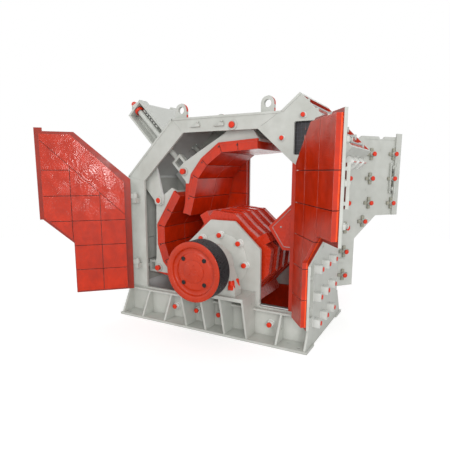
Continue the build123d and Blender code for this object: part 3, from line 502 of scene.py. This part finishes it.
class CRUSHER_OT_finishes(bpy.types.Operator):
    """Paint the frame: cream housing, red wearing parts, black grooves, bare shaft"""

    bl_idname = "crusher.finishes"
    bl_label = "Finishes"

    def execute(self, context):
        shades = finishes["colours"]
        cream = (shades.cream_enamel, shades.cream_shade)
        red = (shades.red_enamel, shades.red_shade)
        # Order: roughness, cloud size, streak, lump size, lump height, painted corner shade; sizes in millimetres.
        # Sprayed enamel on mild steel plate: even satin with faint clouds, small orange peel, painted shade in the
        # corners.
        sprayed = (0.34, 420, 0.0, 9, 0.25, 0.4)
        finishes["cream"] = enamel("cream_sprayed_enamel", *cream, *sprayed)
        # The same paint outside, brushed red inside: the inlet cheeks are lined.
        finishes["cheek"] = enamel("cream_and_red_enamel", *cream, *sprayed, red, facing_inwards)
        # Cream side plates on a red backing plate.
        finishes["upper frame"] = enamel("apron_frame_enamel", *cream, *sprayed, red, backing_edge(1.76))
        finishes["lower frame"] = enamel("apron_cradle_enamel", *cream, *sprayed, red, backing_edge(0.56))
        # The inlet's mouth is brushed red from below, the posts where the liners lap them.
        finishes["mouth"] = enamel("cream_and_red_roof_enamel", *cream, *sprayed, red, facing_down)
        finishes["post"] = enamel("cream_and_red_post_enamel", *cream, *sprayed, red, beside_opening)
        # Brushed enamel over rolled wear plate: glossy and lumpy, a little darker where the brush dragged it thick.
        brushed = (0.15, 300, 0.45, 34, 1.6, 0.45)
        # Its pale corners are partly wear and partly painted glints.
        finishes["liner"] = enamel("red_brushed_enamel", *red, *brushed, swirl_mm=300, edge_wear_and_glint=0.5)
        # Sprayed enamel on castings: smoother and brighter than the brushed liners, with pale corners that are partly
        # wear and partly painted glints.
        finishes["red"] = enamel("red_sprayed_enamel", shades.red_enamel, "#C42C0A", 0.26, 180, 0.2, 14, 0.6, 0.45,
                                 edge_wear_and_glint=0.4)
        # A darker red on the turned pulley.
        finishes["pulley"] = enamel("red_pulley_enamel", "#C0320A", "#B42C08", 0.22, 380, 0.0, 20, 0.4, 0.15)
        # Paler cream on boxes and nuts: painted light for their brightly lit faces.
        finishes["painted_light_cream"] = enamel("cream_enamel_with_painted_light", "#DFE0DC", "#D4D5D0", 0.28, 200, 0.0, 8, 0.2, 0.3)
        # Inside, faces that look towards the shaft take a paler cream: painted light on the inner walls.
        finishes["inside"] = enamel("pale_cream_with_painted_light", *cream, *sprayed, ("#ECEEEC", "#E2E4E2"), facing_shaft)
        # The same cream darkened as painted shade, with strong painted shade in the corners, on the washers.
        finishes["washer"] = enamel("cream_enamel_with_painted_shade", "#A9A898", "#8F8E80", 0.32, 60, 0.0, 9, 0.2, 0.9)
        # Dull blue-grey primer on the grid behind the window.
        finishes["grid"] = enamel("grey_primer", "#4A4C52", "#3C3E44", 0.5, 90, 0.0, 8, 0.1, 0.3)
        # Welded chain sprayed with the liners and painted pale pink all over: a painted highlight for the glints on
        # its links.
        finishes["chain"] = enamel("chain_enamel_with_painted_glint", "#D0877C", "#BC5A4A", 0.28, 60, 0.0, 6, 0.1, 0.2)
        # Air-dried enamel on the small caps: clean, bright and smooth.
        finishes["cap"] = enamel("red_dipped_enamel", "#E2330F", "#D42D0B", 0.35, 60, 0.0, 6, 0.1, 0.2)
        # Sprayed chassis black in the grooves: dull, with rubbed lands. The same black serves as painted shade behind
        # the window, in the comb's slots and in the pulley's bolt holes.
        finishes["black"] = enamel("black_enamel_and_painted_shade", shades.black_and_painted_shade, "#121113", 0.30, 90, 0.3, 8, 0.1, 0.0,
                                   ("#343234", "#2A282A"), rubbed_lands)
        # Lathe-turned carbon steel: dull grey with fine rings.
        finishes["steel"] = metal("turned_carbon_steel", shades.turned_steel, 0.35, 2.0)
        # Zinc-plated steel: pale, slightly cloudy grey.
        finishes["zinc"] = metal("zinc_plated_steel", shades.plated_steel, 0.42, 3.0)
        wear = {"blow_bars": "red", "rotor_body": "red", "feed_chute": "red", "pulley": "red",
                "upper_apron_liners": "liner", "lower_apron_liners": "liner", "skirt_liners": "liner",
                "rotor_shaft": "steel", "inlet_cheeks": "cheek", "inlet_top_plate": "mouth", "right_posts": "post",
                "left_end_wall": "inside", "chamfer_wall": "inside", "roof_plate": "inside",
                "apron_tongues": "inside", "upper_apron_frame": "upper frame", "lower_apron_frame": "lower frame"}
        for name, node in nodes.items():
            kind = wear.get(name, "cream")
            if name.endswith("_door_liners"):
                kind = name
                # The same brushed enamel, with the edge that shows when the door is open painted bright orange-red as
                # painted light, and pale corners that are partly wear and partly painted glints.
                finishes[kind] = enamel(name + "_enamel", *red, *brushed, ("#FF5A24", "#F04A18"),
                                        free_edge(*faces_of(name.removesuffix("_door_liners"))), swirl_mm=300,
                                        edge_wear_and_glint=0.5)
            elif name.endswith("_door"):
                kind = name
                # Sprayed cream outside and brushed red inside, on the same plate.
                finishes[kind] = enamel(name + "_enamel", *cream, *sprayed, ("#A82A12", "#8E2412"),
                                        inside_of_door(*faces_of(name.removesuffix("_door"))))
            for slot in node.material_slots:
                slot.material = finishes[kind]
        return {"FINISHED"}


class CRUSHER_OT_wall_bolts(bpy.types.Operator):
    """Washers, nuts, stud ends and red caps of the liner bolts in both side walls"""

    bl_idname = "crusher.wall_bolts"
    bl_label = "Wall bolts"

    def execute(self, context):
        sizes = finishes["sizes"]
        caps, nuts = meshes(2)
        places = [(1108, 2483), (882, 2260), (140, 1166), (390, 1086), (468, 836), (-113, 1111), (-165, 836)]
        skirt = [(x, 183) for x in (-517, -186, 135, 799)]
        for side, axis in SIDES:
            for x, z in places + skirt:
                at = metres(x, side * WALL, z)
                upper = x in (1108, 882)
                length = sizes.stud_length * (0.5 if upper else 1.0)
                width = sizes.cap_radius * (0.8 if upper else 1.0)
                washer = sizes.nut_radius * (0.7 if upper else 1.1)
                turned(nuts, [(0, 0), (washer, 0), (washer, 0.004), (washer - 0.004, 0.006), (0, 0.006)], at, axis)
                nut(nuts, at + axis * 0.006, axis, washer * 0.9, length * 0.42)
                turned(nuts, thread(sizes.cap_radius * 0.86, length * 0.42, length * 0.82, 0.004), at, axis)
                cap(caps, at + axis * length * 0.8, axis, width, length * 0.25)
        finished("liner_bolt_caps", caps, "housing", "cap")
        # The nuts take the paler cream of painted light.
        finished("liner_bolt_nuts", nuts, "housing", "painted_light_cream")
        return {"FINISHED"}


class CRUSHER_OT_box_bolts(bpy.types.Operator):
    """Cream sleeves, lids and welds of the square bolt boxes, with their red tips"""

    bl_idname = "crusher.box_bolts"
    bl_label = "Bolt boxes"

    def execute(self, context):
        tips, rims = meshes(2)
        run, down = spoke(45), spoke(-45)
        level = Matrix(((0, 0, 1), (0, 1, 0), (-1, 0, 0)))
        tilted = Matrix((run, ACROSS, down)).transposed()
        boxes = [(metres(END + 1, y, z), level) for y in (-480, -187, 125) for z in (269, 567, 876)]
        boxes += [(metres(END, y, 1818) + run * 0.305 + down * 0.001, tilted) for y in (-290, 0, 290)]
        for foot, turn in boxes:
            place = Matrix.Translation(foot) @ turn.to_4x4()
            wide, tall = (46, 80) if turn is level else (60, 84)
            inner = wide - 8
            for low, high in (((-wide, -wide), (wide, -inner)), ((-wide, inner), (wide, wide)),
                              ((-wide, -inner), (-inner, inner)), ((inner, -inner), (wide, inner))):
                bar(rims, metres(*low, 0), metres(*high, tall), place)
            bar(rims, metres(-inner, -inner, tall - 10), metres(inner, inner, tall - 2), place)
            square = ((-48, -48), (48, -48), (48, 48), (-48, 48), (-48, -48))
            bead(rims, [place @ metres(dx, dy, 0) for dx, dy in square], 0.004)
            if turn is level:
                cap(tips, place @ metres(0, 0, 79), Vector((1, 0, 0)), 0.026, 0.012)
            else:
                bar(tips, metres(50, -58, 85), metres(60, 58, 88), place)
        finished("box_stud_tips", tips, "housing", "cap")
        # The box sleeves and welds take the paler cream of painted light.
        finished("box_welds", rims, "housing", "painted_light_cream")
        return {"FINISHED"}


class CRUSHER_OT_pins(bpy.types.Operator):
    """Red pin heads of the aprons with their pale retaining rings"""

    bl_idname = "crusher.pins"
    bl_label = "Apron pins"

    def execute(self, context):
        for body, rows in (("upper_apron", ((284, 2426, 570, 541, 58), (-462.6, 1908.2, 470, 426, 54))),
                           ("lower_apron", ((-850, 1532, 470, 463, 54), (-895, 622, 470, 426, 54)))):
            caps, rings = meshes(2)
            for x, z, end, seat, width in rows:
                edge = width / 1000
                for side, axis in SIDES:
                    cap(caps, metres(x, side * end, z), axis, 0.036, 0.008)
                    turned(rings, [(0.033, 0.001), (edge, 0.001), (edge, 0.011), (edge - 0.004, 0.014),
                                   (0.040, 0.014), (0.0325, 0.011), (0.033, 0.001)],
                           metres(x, side * seat, z), axis, 28)
            finished(body + "_pin_caps", caps, body, "cap")
            finished(body + "_pin_rings", rings, body, "cream")
        return {"FINISHED"}


class CRUSHER_OT_doors(bpy.types.Operator):
    """Door studs with cross washers, hinge pin heads, seam welds and the back right door's handle rails"""

    bl_idname = "crusher.doors"
    bl_label = "Doors"

    def execute(self, context):
        rows = ((829, 1824), (833, 1498), (831, 1167), (834, 843), (838, 516), (458, 1822), (458, 1491), (545, 1242),
                (455, 2146), (72, 2151), (71, 1818), (64, 1480))
        for name, (hand, side, _) in DOORS.items():
            door = opened(name)
            axis = door.to_3x3() @ Vector((0, side, 0))
            face = side * (DOOR_FACE + 0.5)
            body = name + "_door"
            studs, seams = meshes(2)
            if side > 0:
                crosses, caps = meshes(2)
                lift, radius, height = 0.066, 0.031, 0.016
            else:
                crosses, caps = studs, seams
                lift, radius, height = 0.062, 0.026, 0.012
            for x, z in rows:
                arm = 0.026 if hand < 0 and x < 100 else 0.078
                if hand < 0:
                    x = -16 - x - (30 if x < 100 else 0)
                cross = door @ Matrix.Translation(metres(x, side * DOOR_FACE, z))
                at = cross.translation
                for long, short in ((arm, 0.022), (0.022, 0.078)):
                    bar(crosses, Vector((-long, 0, -short)), Vector((long, side * 0.022, short)), cross)
                nut(studs, at + axis * 0.022, axis, 0.036, 0.022)
                turned(studs, thread(0.023, 0.038, 0.072, 0.004), at, axis)
                cap(caps, at + axis * lift, axis, radius, height)
            top = 2339
            for low, high in ((8, 300), (340, 560)) if hand > 0 else ((-380, -40),):
                weld(seams, ((low, top), (high, top)), face, 0.004, door)
            x, y = HINGES[hand]
            for z in (656, 1530):
                turned(studs, [(0, 0), (0.026, 0), (0.026, 0.008), (0.020, 0.014), (0, 0.016)],
                       metres(x, side * y, z + 92.5), UP)
                for dz in (31, 91):
                    weld(seams, ((x - hand * 32, z + dz), (x - hand * 300, z + dz)), face, 0.005, door)
            if side > 0:
                if hand > 0:
                    for x in (8, 104):
                        bar(studs, metres(x, DOOR_FACE, 1616), metres(x + 16, 604, 2032), door)
                    for z in (1680, 1968):
                        turned(studs, [(0, 0), (0.030, 0), (0.030, 0.040), (0.024, 0.046), (0, 0.046)],
                               door @ metres(64, DOOR_FACE, z), axis)
                # The cross washers take cream darkened as painted shade.
                finished(name + "_cross_washers", crosses, body, "washer")
                finished(name + "_stud_caps", caps, body, "cap")
            finished(name + "_studs", studs, body, "cream")
            finished(name + "_seams", seams, body, "cream")
        return {"FINISHED"}


class CRUSHER_OT_adjusters(bpy.types.Operator):
    """Red noses and guide rings of the adjusting rods, and the combs beside the upper ones with black bars of painted
    shade in their slots
    """

    bl_idname = "crusher.adjusters"
    bl_label = "Adjusters"

    def execute(self, context):
        # Lug of the apron, direction of the rod, and distances along it: from the lug to the wall, and from the wall
        # to the rod's end and to the outer face of its bracket.
        rods = {"upper_rods": (Vector((-0.4626, 0, 1.9082)), Vector((-0.6924, 0, 0.7215)), 0.524, 0.700, 0.625),
                "lower_rods": (Vector((-0.895, 0, 0.622)), Vector((-1, 0, 0)), 0.385, 0.430, 0.355)}
        combs, slots = meshes(2)
        for body, (lug, axis, depth, reach, seat) in rods.items():
            red, guides = meshes(2)
            for side in (-1, 1):
                base = lug + Vector((0, side * 0.345, 0)) + axis * depth
                turned(red, [(0, 0.0), (0.043, 0.0), (0.043, 0.022), (0.033, 0.026), (0.033, 0.048), (0.023, 0.056),
                             (0.016, 0.058), (0.016, 0.064), (0, 0.066)], base + axis * (reach - 0.030), axis)
                turned(guides, [(0.046, 0), (0.057, 0), (0.060, 0.006), (0.060, 0.032), (0.057, 0.038),
                                (0.046, 0.038), (0.046, 0)], base + axis * (seat - 0.070), axis)
                if body == "upper_rods":
                    square = Vector((axis.z, 0, -axis.x))
                    place = Matrix.Translation(base) @ Matrix((axis, ACROSS, square)).transposed().to_4x4()
                    bar(combs, metres(210, -5, 47), metres(530, 5, 69), place)
                    # Black bars in the comb's slots are painted shade.
                    for slot in range(5):
                        bar(slots, metres(250 + slot * 52, -7, 50), metres(272 + slot * 52, 7, 67), place)
            finished(body + "_noses", red, body, "cap")
            finished(body + "_guide_rings", guides, "housing", "cap")
        finished("stop_combs", combs, "housing", "cream")
        finished("stop_comb_slot_shadows", slots, "housing", "black")
        return {"FINISHED"}


class CRUSHER_OT_pulley(bpy.types.Operator):
    """Red face, black grooved rim, black discs of painted shade in the bolt holes, and hub screws of the drive pulley
    """

    bl_idname = "crusher.pulley"
    bl_label = "Drive pulley"

    def execute(self, context):
        at = SHAFT + metres(0, -1195, 0)
        into = ACROSS
        disc = bmesh.new()
        turned(disc, [(0, 0.021), (0.030, 0.021), (0.031, 0.019), (0.118, 0.019), (0.124, 0.022), (0.124, 0.030),
                      (0.136, 0.031), (0.196, 0.031), (0.204, 0.034), (0.212, 0.040), (0.222, 0.043), (0.246, 0.043),
                      (0.256, 0.038), (0.262, 0.016), (0.265, 0.005), (0.272, 0.001), (0.324, 0.001), (0.3295, 0.004),
                      (0.3295, 0.012), (0.28, 0.012), (0.28, 0.12), (0, 0.12)], at, into, 96)
        hub = finished("pulley_face", disc, "rotor", "pulley", 50)
        grooves = bmesh.new()
        rim = [(0.27, 0.012), (0.3295, 0.012), (0.3295, 0.016)]
        for i in range(8):
            low = 0.018 + i * 0.0255
            rim += [(0.3295, low), (0.306, low + 0.0085), (0.306, low + 0.0115), (0.3295, low + 0.0195)]
        rim += [(0.3295, 0.229), (0.265, 0.229), (0.262, 0.130), (0.100, 0.129), (0.0955, 0.127), (0.0955, 0.11),
                (0.27, 0.10), (0.27, 0.012)]
        turned(grooves, rim, at, into, 96)
        rings = finished("pulley_grooves", grooves, "rotor", "black", 50)
        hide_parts("pulley")
        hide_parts("pulley")
        bolts, heads = meshes(2)
        # Black discs in the bolt holes are painted shade.
        for i in range(4):
            turned(bolts, [(0, 0.0305), (0.024, 0.0305), (0.024, 0.024), (0.020, 0.022), (0.016, 0.028), (0, 0.028)],
                   at + spoke(45 + 90 * i) * 0.186, into)
        for i in range(3):
            cap(heads, at + spoke(90 + 120 * i) * 0.07 + into * 0.019, -into, 0.011, 0.006)
        finished("pulley_bolt_hole_shadows", bolts, "rotor", "black")
        finished("hub_disc_bolts", heads, "rotor", "pulley")
        return {"FINISHED"}


class CRUSHER_OT_bearings(bpy.types.Operator):
    """Bearing covers with cap screws, seal rings, foot bolts and grease nipples"""

    bl_idname = "crusher.bearings"
    bl_label = "Bearings"

    def execute(self, context):
        covers, caps, screws = meshes(3)
        for side, axis in SIDES:
            turned(covers, [(0.120, 0), (0.335, 0), (0.335, 0.008), (0.330, 0.011), (0.120, 0.011), (0.120, 0)],
                   SHAFT + axis * 0.5405, axis, 64)
            turned(covers, [(0.098, 0), (0.215, 0), (0.215, 0.012), (0.205, 0.018), (0.150, 0.018), (0.142, 0.030),
                            (0.098, 0.030), (0.098, 0)], SHAFT + axis * 0.8451, axis, 64)
            for i in range(8):
                cap(screws, SHAFT + axis * 0.863 + spoke(22.5 + 45 * i) * 0.178, axis, 0.012, 0.012)
            for x in (-122, 430):
                for y in (715, 825):
                    foot = metres(x, side * y, 600)
                    turned(covers, [(0, 0), (0.044, 0), (0.044, 0.006), (0, 0.006)], foot, UP)
                    nut(caps, foot + UP * 0.006, UP, 0.046, 0.050)
                    cap(caps, foot + UP * 0.052, UP, 0.037, 0.060)
            nipple = SHAFT + Vector((0, side * 0.77, 0.235))
            turned(screws, [(0, 0), (0.014, 0), (0.014, 0.010), (0.006, 0.012), (0.007, 0.022), (0, 0.024)],
                   nipple, UP)
        finished("bearing_covers", covers, "housing", "cream")
        finished("bearing_foot_bolts", caps, "housing", "cap")
        finished("bearing_screws", screws, "housing", "cap")
        return {"FINISHED"}


class CRUSHER_OT_edges(bpy.types.Operator):
    """Edge strips, seam welds, latch pads and the painted rims of the lifting eyes"""

    bl_idname = "crusher.edges"
    bl_label = "Edges and welds"

    def execute(self, context):
        strips, seams, pads, rims = meshes(4)
        outline = [(-END, FOOT), (-END, 1850), (-559, ROOF), (860, ROOF), (1059, 2710)]
        radius = finishes["sizes"].bead_radius
        # Ends of each seam in x and z, and its share of the usual bead.
        joints = ((-END, FOOT, -1084, FOOT, 1), (-1278, 1500, -1184, 1500, 0.6), (-1278, 626, -1184, 626, 0.6),
                  (1068, FOOT, END, FOOT, 1), (1068, 1960, END, 1818, 0.7), (-1084, 1800, -END, 1850, 0.6),
                  (-424, 2403, -559, ROOF, 0.6), (636, 2397, 860, ROOF, 0.6), (-305, 366, 613, 366, 1))
        for side, axis in SIDES:
            strip(strips, outline, side * WALL, side * (WALL + 5), 26)
            for x0, z0, x1, z1, share in joints:
                weld(seams, ((x0, z0), (x1, z1)), side * (WALL + 0.5), radius * share)
            for x in (-929, -576, -237, 40, 297, 585, 941):
                for dx in (-13.5, 13.5):
                    weld(seams, ((x + dx, 31), (x + dx, 323)), side * (WALL + 1), radius * 0.8)
            # The upright lugs on the latch pads are shallower at the back.
            pad, lug = WALL + 26, WALL + (16 if side > 0 else 26)
            for x, z in ((-205, 2448), (118, 2444)):
                bar(pads, metres(x - 70, side * WALL, z - 22), metres(x + 62, side * pad, z - 8))
                bar(pads, metres(x - 8, side * WALL, z - 10), metres(x + 58, side * lug, z + 16))
                turned(pads, [(0, 0), (0.012, 0), (0.012, 0.020), (0.008, 0.024), (0, 0.024)],
                       metres(x + 40, side * (WALL + 16), z + 28), axis)
        # Outer radius of a lifting eye.
        eye = 79.5
        for side in (-1, 1):
            for x in (-440, 690):
                for y in (464, 506):
                    weld(seams, ((x - 78, ROOF + 1), (x + 78, ROOF + 1)), side * y, radius)
                points = [(x + eye, 2546)]
                for i in range(17):
                    angle = math.radians(-15 + 105 * i / 16)
                    points.append((x + eye * math.cos(angle), 2634 + eye * math.sin(angle)))
                for start, end in zip(points, points[1:]):
                    corners = [rims.verts.new(metres(px, y, pz)) for px, pz in (start, end)
                               for y in sorted((side * 467, side * 503))]
                    rims.faces.new([corners[0], corners[1], corners[3], corners[2]])
        finished("edge_strips", strips, "housing", "cream")
        finished("seam_welds", seams, "housing", "cream")
        finished("latch_pads", pads, "housing", "cream")
        finished("lifting_eye_rims", rims, "housing", "cap")
        return {"FINISHED"}


class CRUSHER_OT_rotor(bpy.types.Operator):
    """Wedge screws beside the blow bars and weld beads round the rotor discs"""

    bl_idname = "crusher.rotor"
    bl_label = "Rotor"

    def execute(self, context):
        screws, seams = meshes(2)
        thick = 0.070
        pitch = (0.910 - thick) / 4
        for lead in (35, 125, 215, 305):
            near, far = spoke(lead - 46.5), spoke(lead - 71.5)
            for disc in range(5):
                y = -0.455 + disc * pitch
                for edge in (0.0, thick):
                    middle = SHAFT + ACROSS * (y + edge)
                    bead(seams, [middle + near * 0.577, middle + far * 0.500], 0.004)
                cap(screws, SHAFT + near * 0.560 + ACROSS * (y + thick / 2), near, 0.016, 0.024)
        finished("rotor_wedge_screws", screws, "rotor", "red")
        finished("rotor_welds", seams, "rotor", "red")
        return {"FINISHED"}


class CRUSHER_OT_inlet(bpy.types.Operator):
    """Chain curtain in the inlet mouth with its rods and brackets, black plates of painted shade behind the inspection
    window, and its grid
    """

    bl_idname = "crusher.inlet"
    bl_label = "Inlet"

    def execute(self, context):
        sizes = finishes["sizes"]
        chance = random.Random(4)
        chains, rods, lugs = meshes(3)
        step = sizes.link_length - 3.2 * sizes.link_wire
        for x, z, drop in ((1120, 2610, 9), (1215, 2514, 8), (1310, 2418, 7), (1405, 2322, 6), (1500, 2226, 4)):
            turned(rods, [(0, 0), (0.014, 0), (0.014, 1.008), (0, 1.008)], metres(x, -504, z), ACROSS, 14)
            for side in (-1, 1):
                bar(lugs, metres(x - 34, side * 505, z - 34), metres(x + 34, side * 490, z + 34))
            for i in range(21):
                y = -470 + 47 * i
                sway = chance.uniform(-0.004, 0.004)
                for k in range(drop):
                    at = metres(x, y, z) + Vector((sway * k * 0.5, sway * k, -0.014 - step * (k + 0.5)))
                    link(chains, at, math.radians(90 * (k % 2) + chance.uniform(-14, 14)), sizes.link_length,
                         sizes.link_wire)
        # Black plates behind the window are painted shade that keeps the window dark.
        shadow_plates, bolts, grid = meshes(3)
        bar(shadow_plates, metres(1000, 540.5, 2082), metres(1300, 552, 2460))
        bar(shadow_plates, metres(976, 540.5, 2110), metres(1000, 552, 2460))
        bar(shadow_plates, metres(970, -498, 2040), metres(1262, -490, 2460))
        for x in range(990, 1262, 42):
            bar(grid, metres(x, -504, 2045), metres(x + 6, -498, 2455))
        for z in range(2060, 2455, 42):
            bar(grid, metres(975, -503, z), metres(1258, -499, z + 6))
        finished("window_grid", grid, "housing", "grid")
        for x, low in ((988, 2135), (1280, 2105)):
            for z in (low, 2280, 2440):
                nut(bolts, metres(x, 552, z), ACROSS, 0.011, 0.010)
        finished("window_shadow_plates", shadow_plates, "housing", "black")
        finished("window_cover_bolts", bolts, "housing", "cream")
        finished("curtain_chains", chains, "housing", "chain")
        finished("curtain_rods", rods, "housing", "zinc")
        finished("curtain_brackets", lugs, "housing", "cream")
        return {"FINISHED"}


class CRUSHER_OT_chute(bpy.types.Operator):
    """Weld line inside the edge of the feed chute's side and its lock screw"""

    bl_idname = "crusher.chute"
    bl_label = "Feed chute"

    def execute(self, context):
        seams, studs = meshes(2)
        line = [(762, 1290), (900, 1078), (1236, 1078), (1236, 1770), (762, 1290)]
        for side, axis in SIDES:
            weld(seams, line, side * 470.5, 0.004)
            cap(studs, metres(864, side * 470, 1299), axis, 0.010, 0.007)
        finished("chute_welds", seams, "housing", "zinc")
        finished("chute_screws", studs, "housing", "zinc")
        return {"FINISHED"}


class CRUSHER_OT_aprons(bpy.types.Operator):
    """Screws at the row joints and the weld along the backing plates of both aprons"""

    bl_idname = "crusher.aprons"
    bl_label = "Aprons"

    def execute(self, context):
        backs = {"upper_apron": ((284, 2426), ((274, -149), (22, -165), (-229, -181), (-473, -360), (-624, -549),
                                               (-686, -809), (-750, -1038))),
                 "lower_apron": ((-850, 1532), ((250, 134), (109, -89), (-33, -312), (-30, -582), (54, -819),
                                                (260, -1032)))}
        for body, (pivot, offsets) in backs.items():
            screws, seams = meshes(2)
            line = [(pivot[0] + dx, pivot[1] + dz) for dx, dz in offsets]
            for side, axis in SIDES:
                for x, z in line[1:-1]:
                    inwards = (SHAFT - metres(x, 0, z)).normalized()
                    cap(screws, metres(x, side * 462, z) + inwards * 0.05, axis, 0.009, 0.006)
                weld(seams, line, side * 425.5, 0.004)
            finished(body + "_joint_screws", screws, body, "black")
            finished(body + "_welds", seams, body, "cream")
        return {"FINISHED"}


class CRUSHER_PT_panel(bpy.types.Panel):
    """Steps that dress the crusher"""

    bl_idname = "CRUSHER_PT_panel"
    bl_label = "Impact crusher"
    bl_space_type = "VIEW_3D"
    bl_region_type = "UI"
    bl_category = "Crusher"

    def draw(self, context):
        for group in (context.scene.crusher_sizes, context.scene.crusher_colours):
            for name in group.__annotations__:
                self.layout.prop(group, name)
        for step in STEPS:
            self.layout.operator(step.bl_idname)


STEPS = (CRUSHER_OT_stage, CRUSHER_OT_finishes, CRUSHER_OT_wall_bolts, CRUSHER_OT_box_bolts, CRUSHER_OT_pins,
         CRUSHER_OT_doors, CRUSHER_OT_adjusters, CRUSHER_OT_pulley, CRUSHER_OT_bearings, CRUSHER_OT_edges,
         CRUSHER_OT_rotor, CRUSHER_OT_inlet, CRUSHER_OT_chute, CRUSHER_OT_aprons)
CLASSES = (CrusherColours, CrusherSizes) + STEPS + (CRUSHER_PT_panel,)


def register():
    """Register the properties, the steps and the panel."""
    for group in CLASSES:
        bpy.utils.register_class(group)
    bpy.types.Scene.crusher_colours = bpy.props.PointerProperty(type=CrusherColours)
    bpy.types.Scene.crusher_sizes = bpy.props.PointerProperty(type=CrusherSizes)


def unregister():
    """Remove the panel, the steps and the properties."""
    del bpy.types.Scene.crusher_sizes
    del bpy.types.Scene.crusher_colours
    for group in reversed(CLASSES):
        bpy.utils.unregister_class(group)


def main():
    """Dress the frame."""
    register()
    finishes["colours"] = bpy.context.scene.crusher_colours
    finishes["sizes"] = bpy.context.scene.crusher_sizes
    for step in STEPS:
        group, name = step.bl_idname.split(".")
        getattr(getattr(bpy.ops, group), name)()


if __name__ == "__main__":
    main()
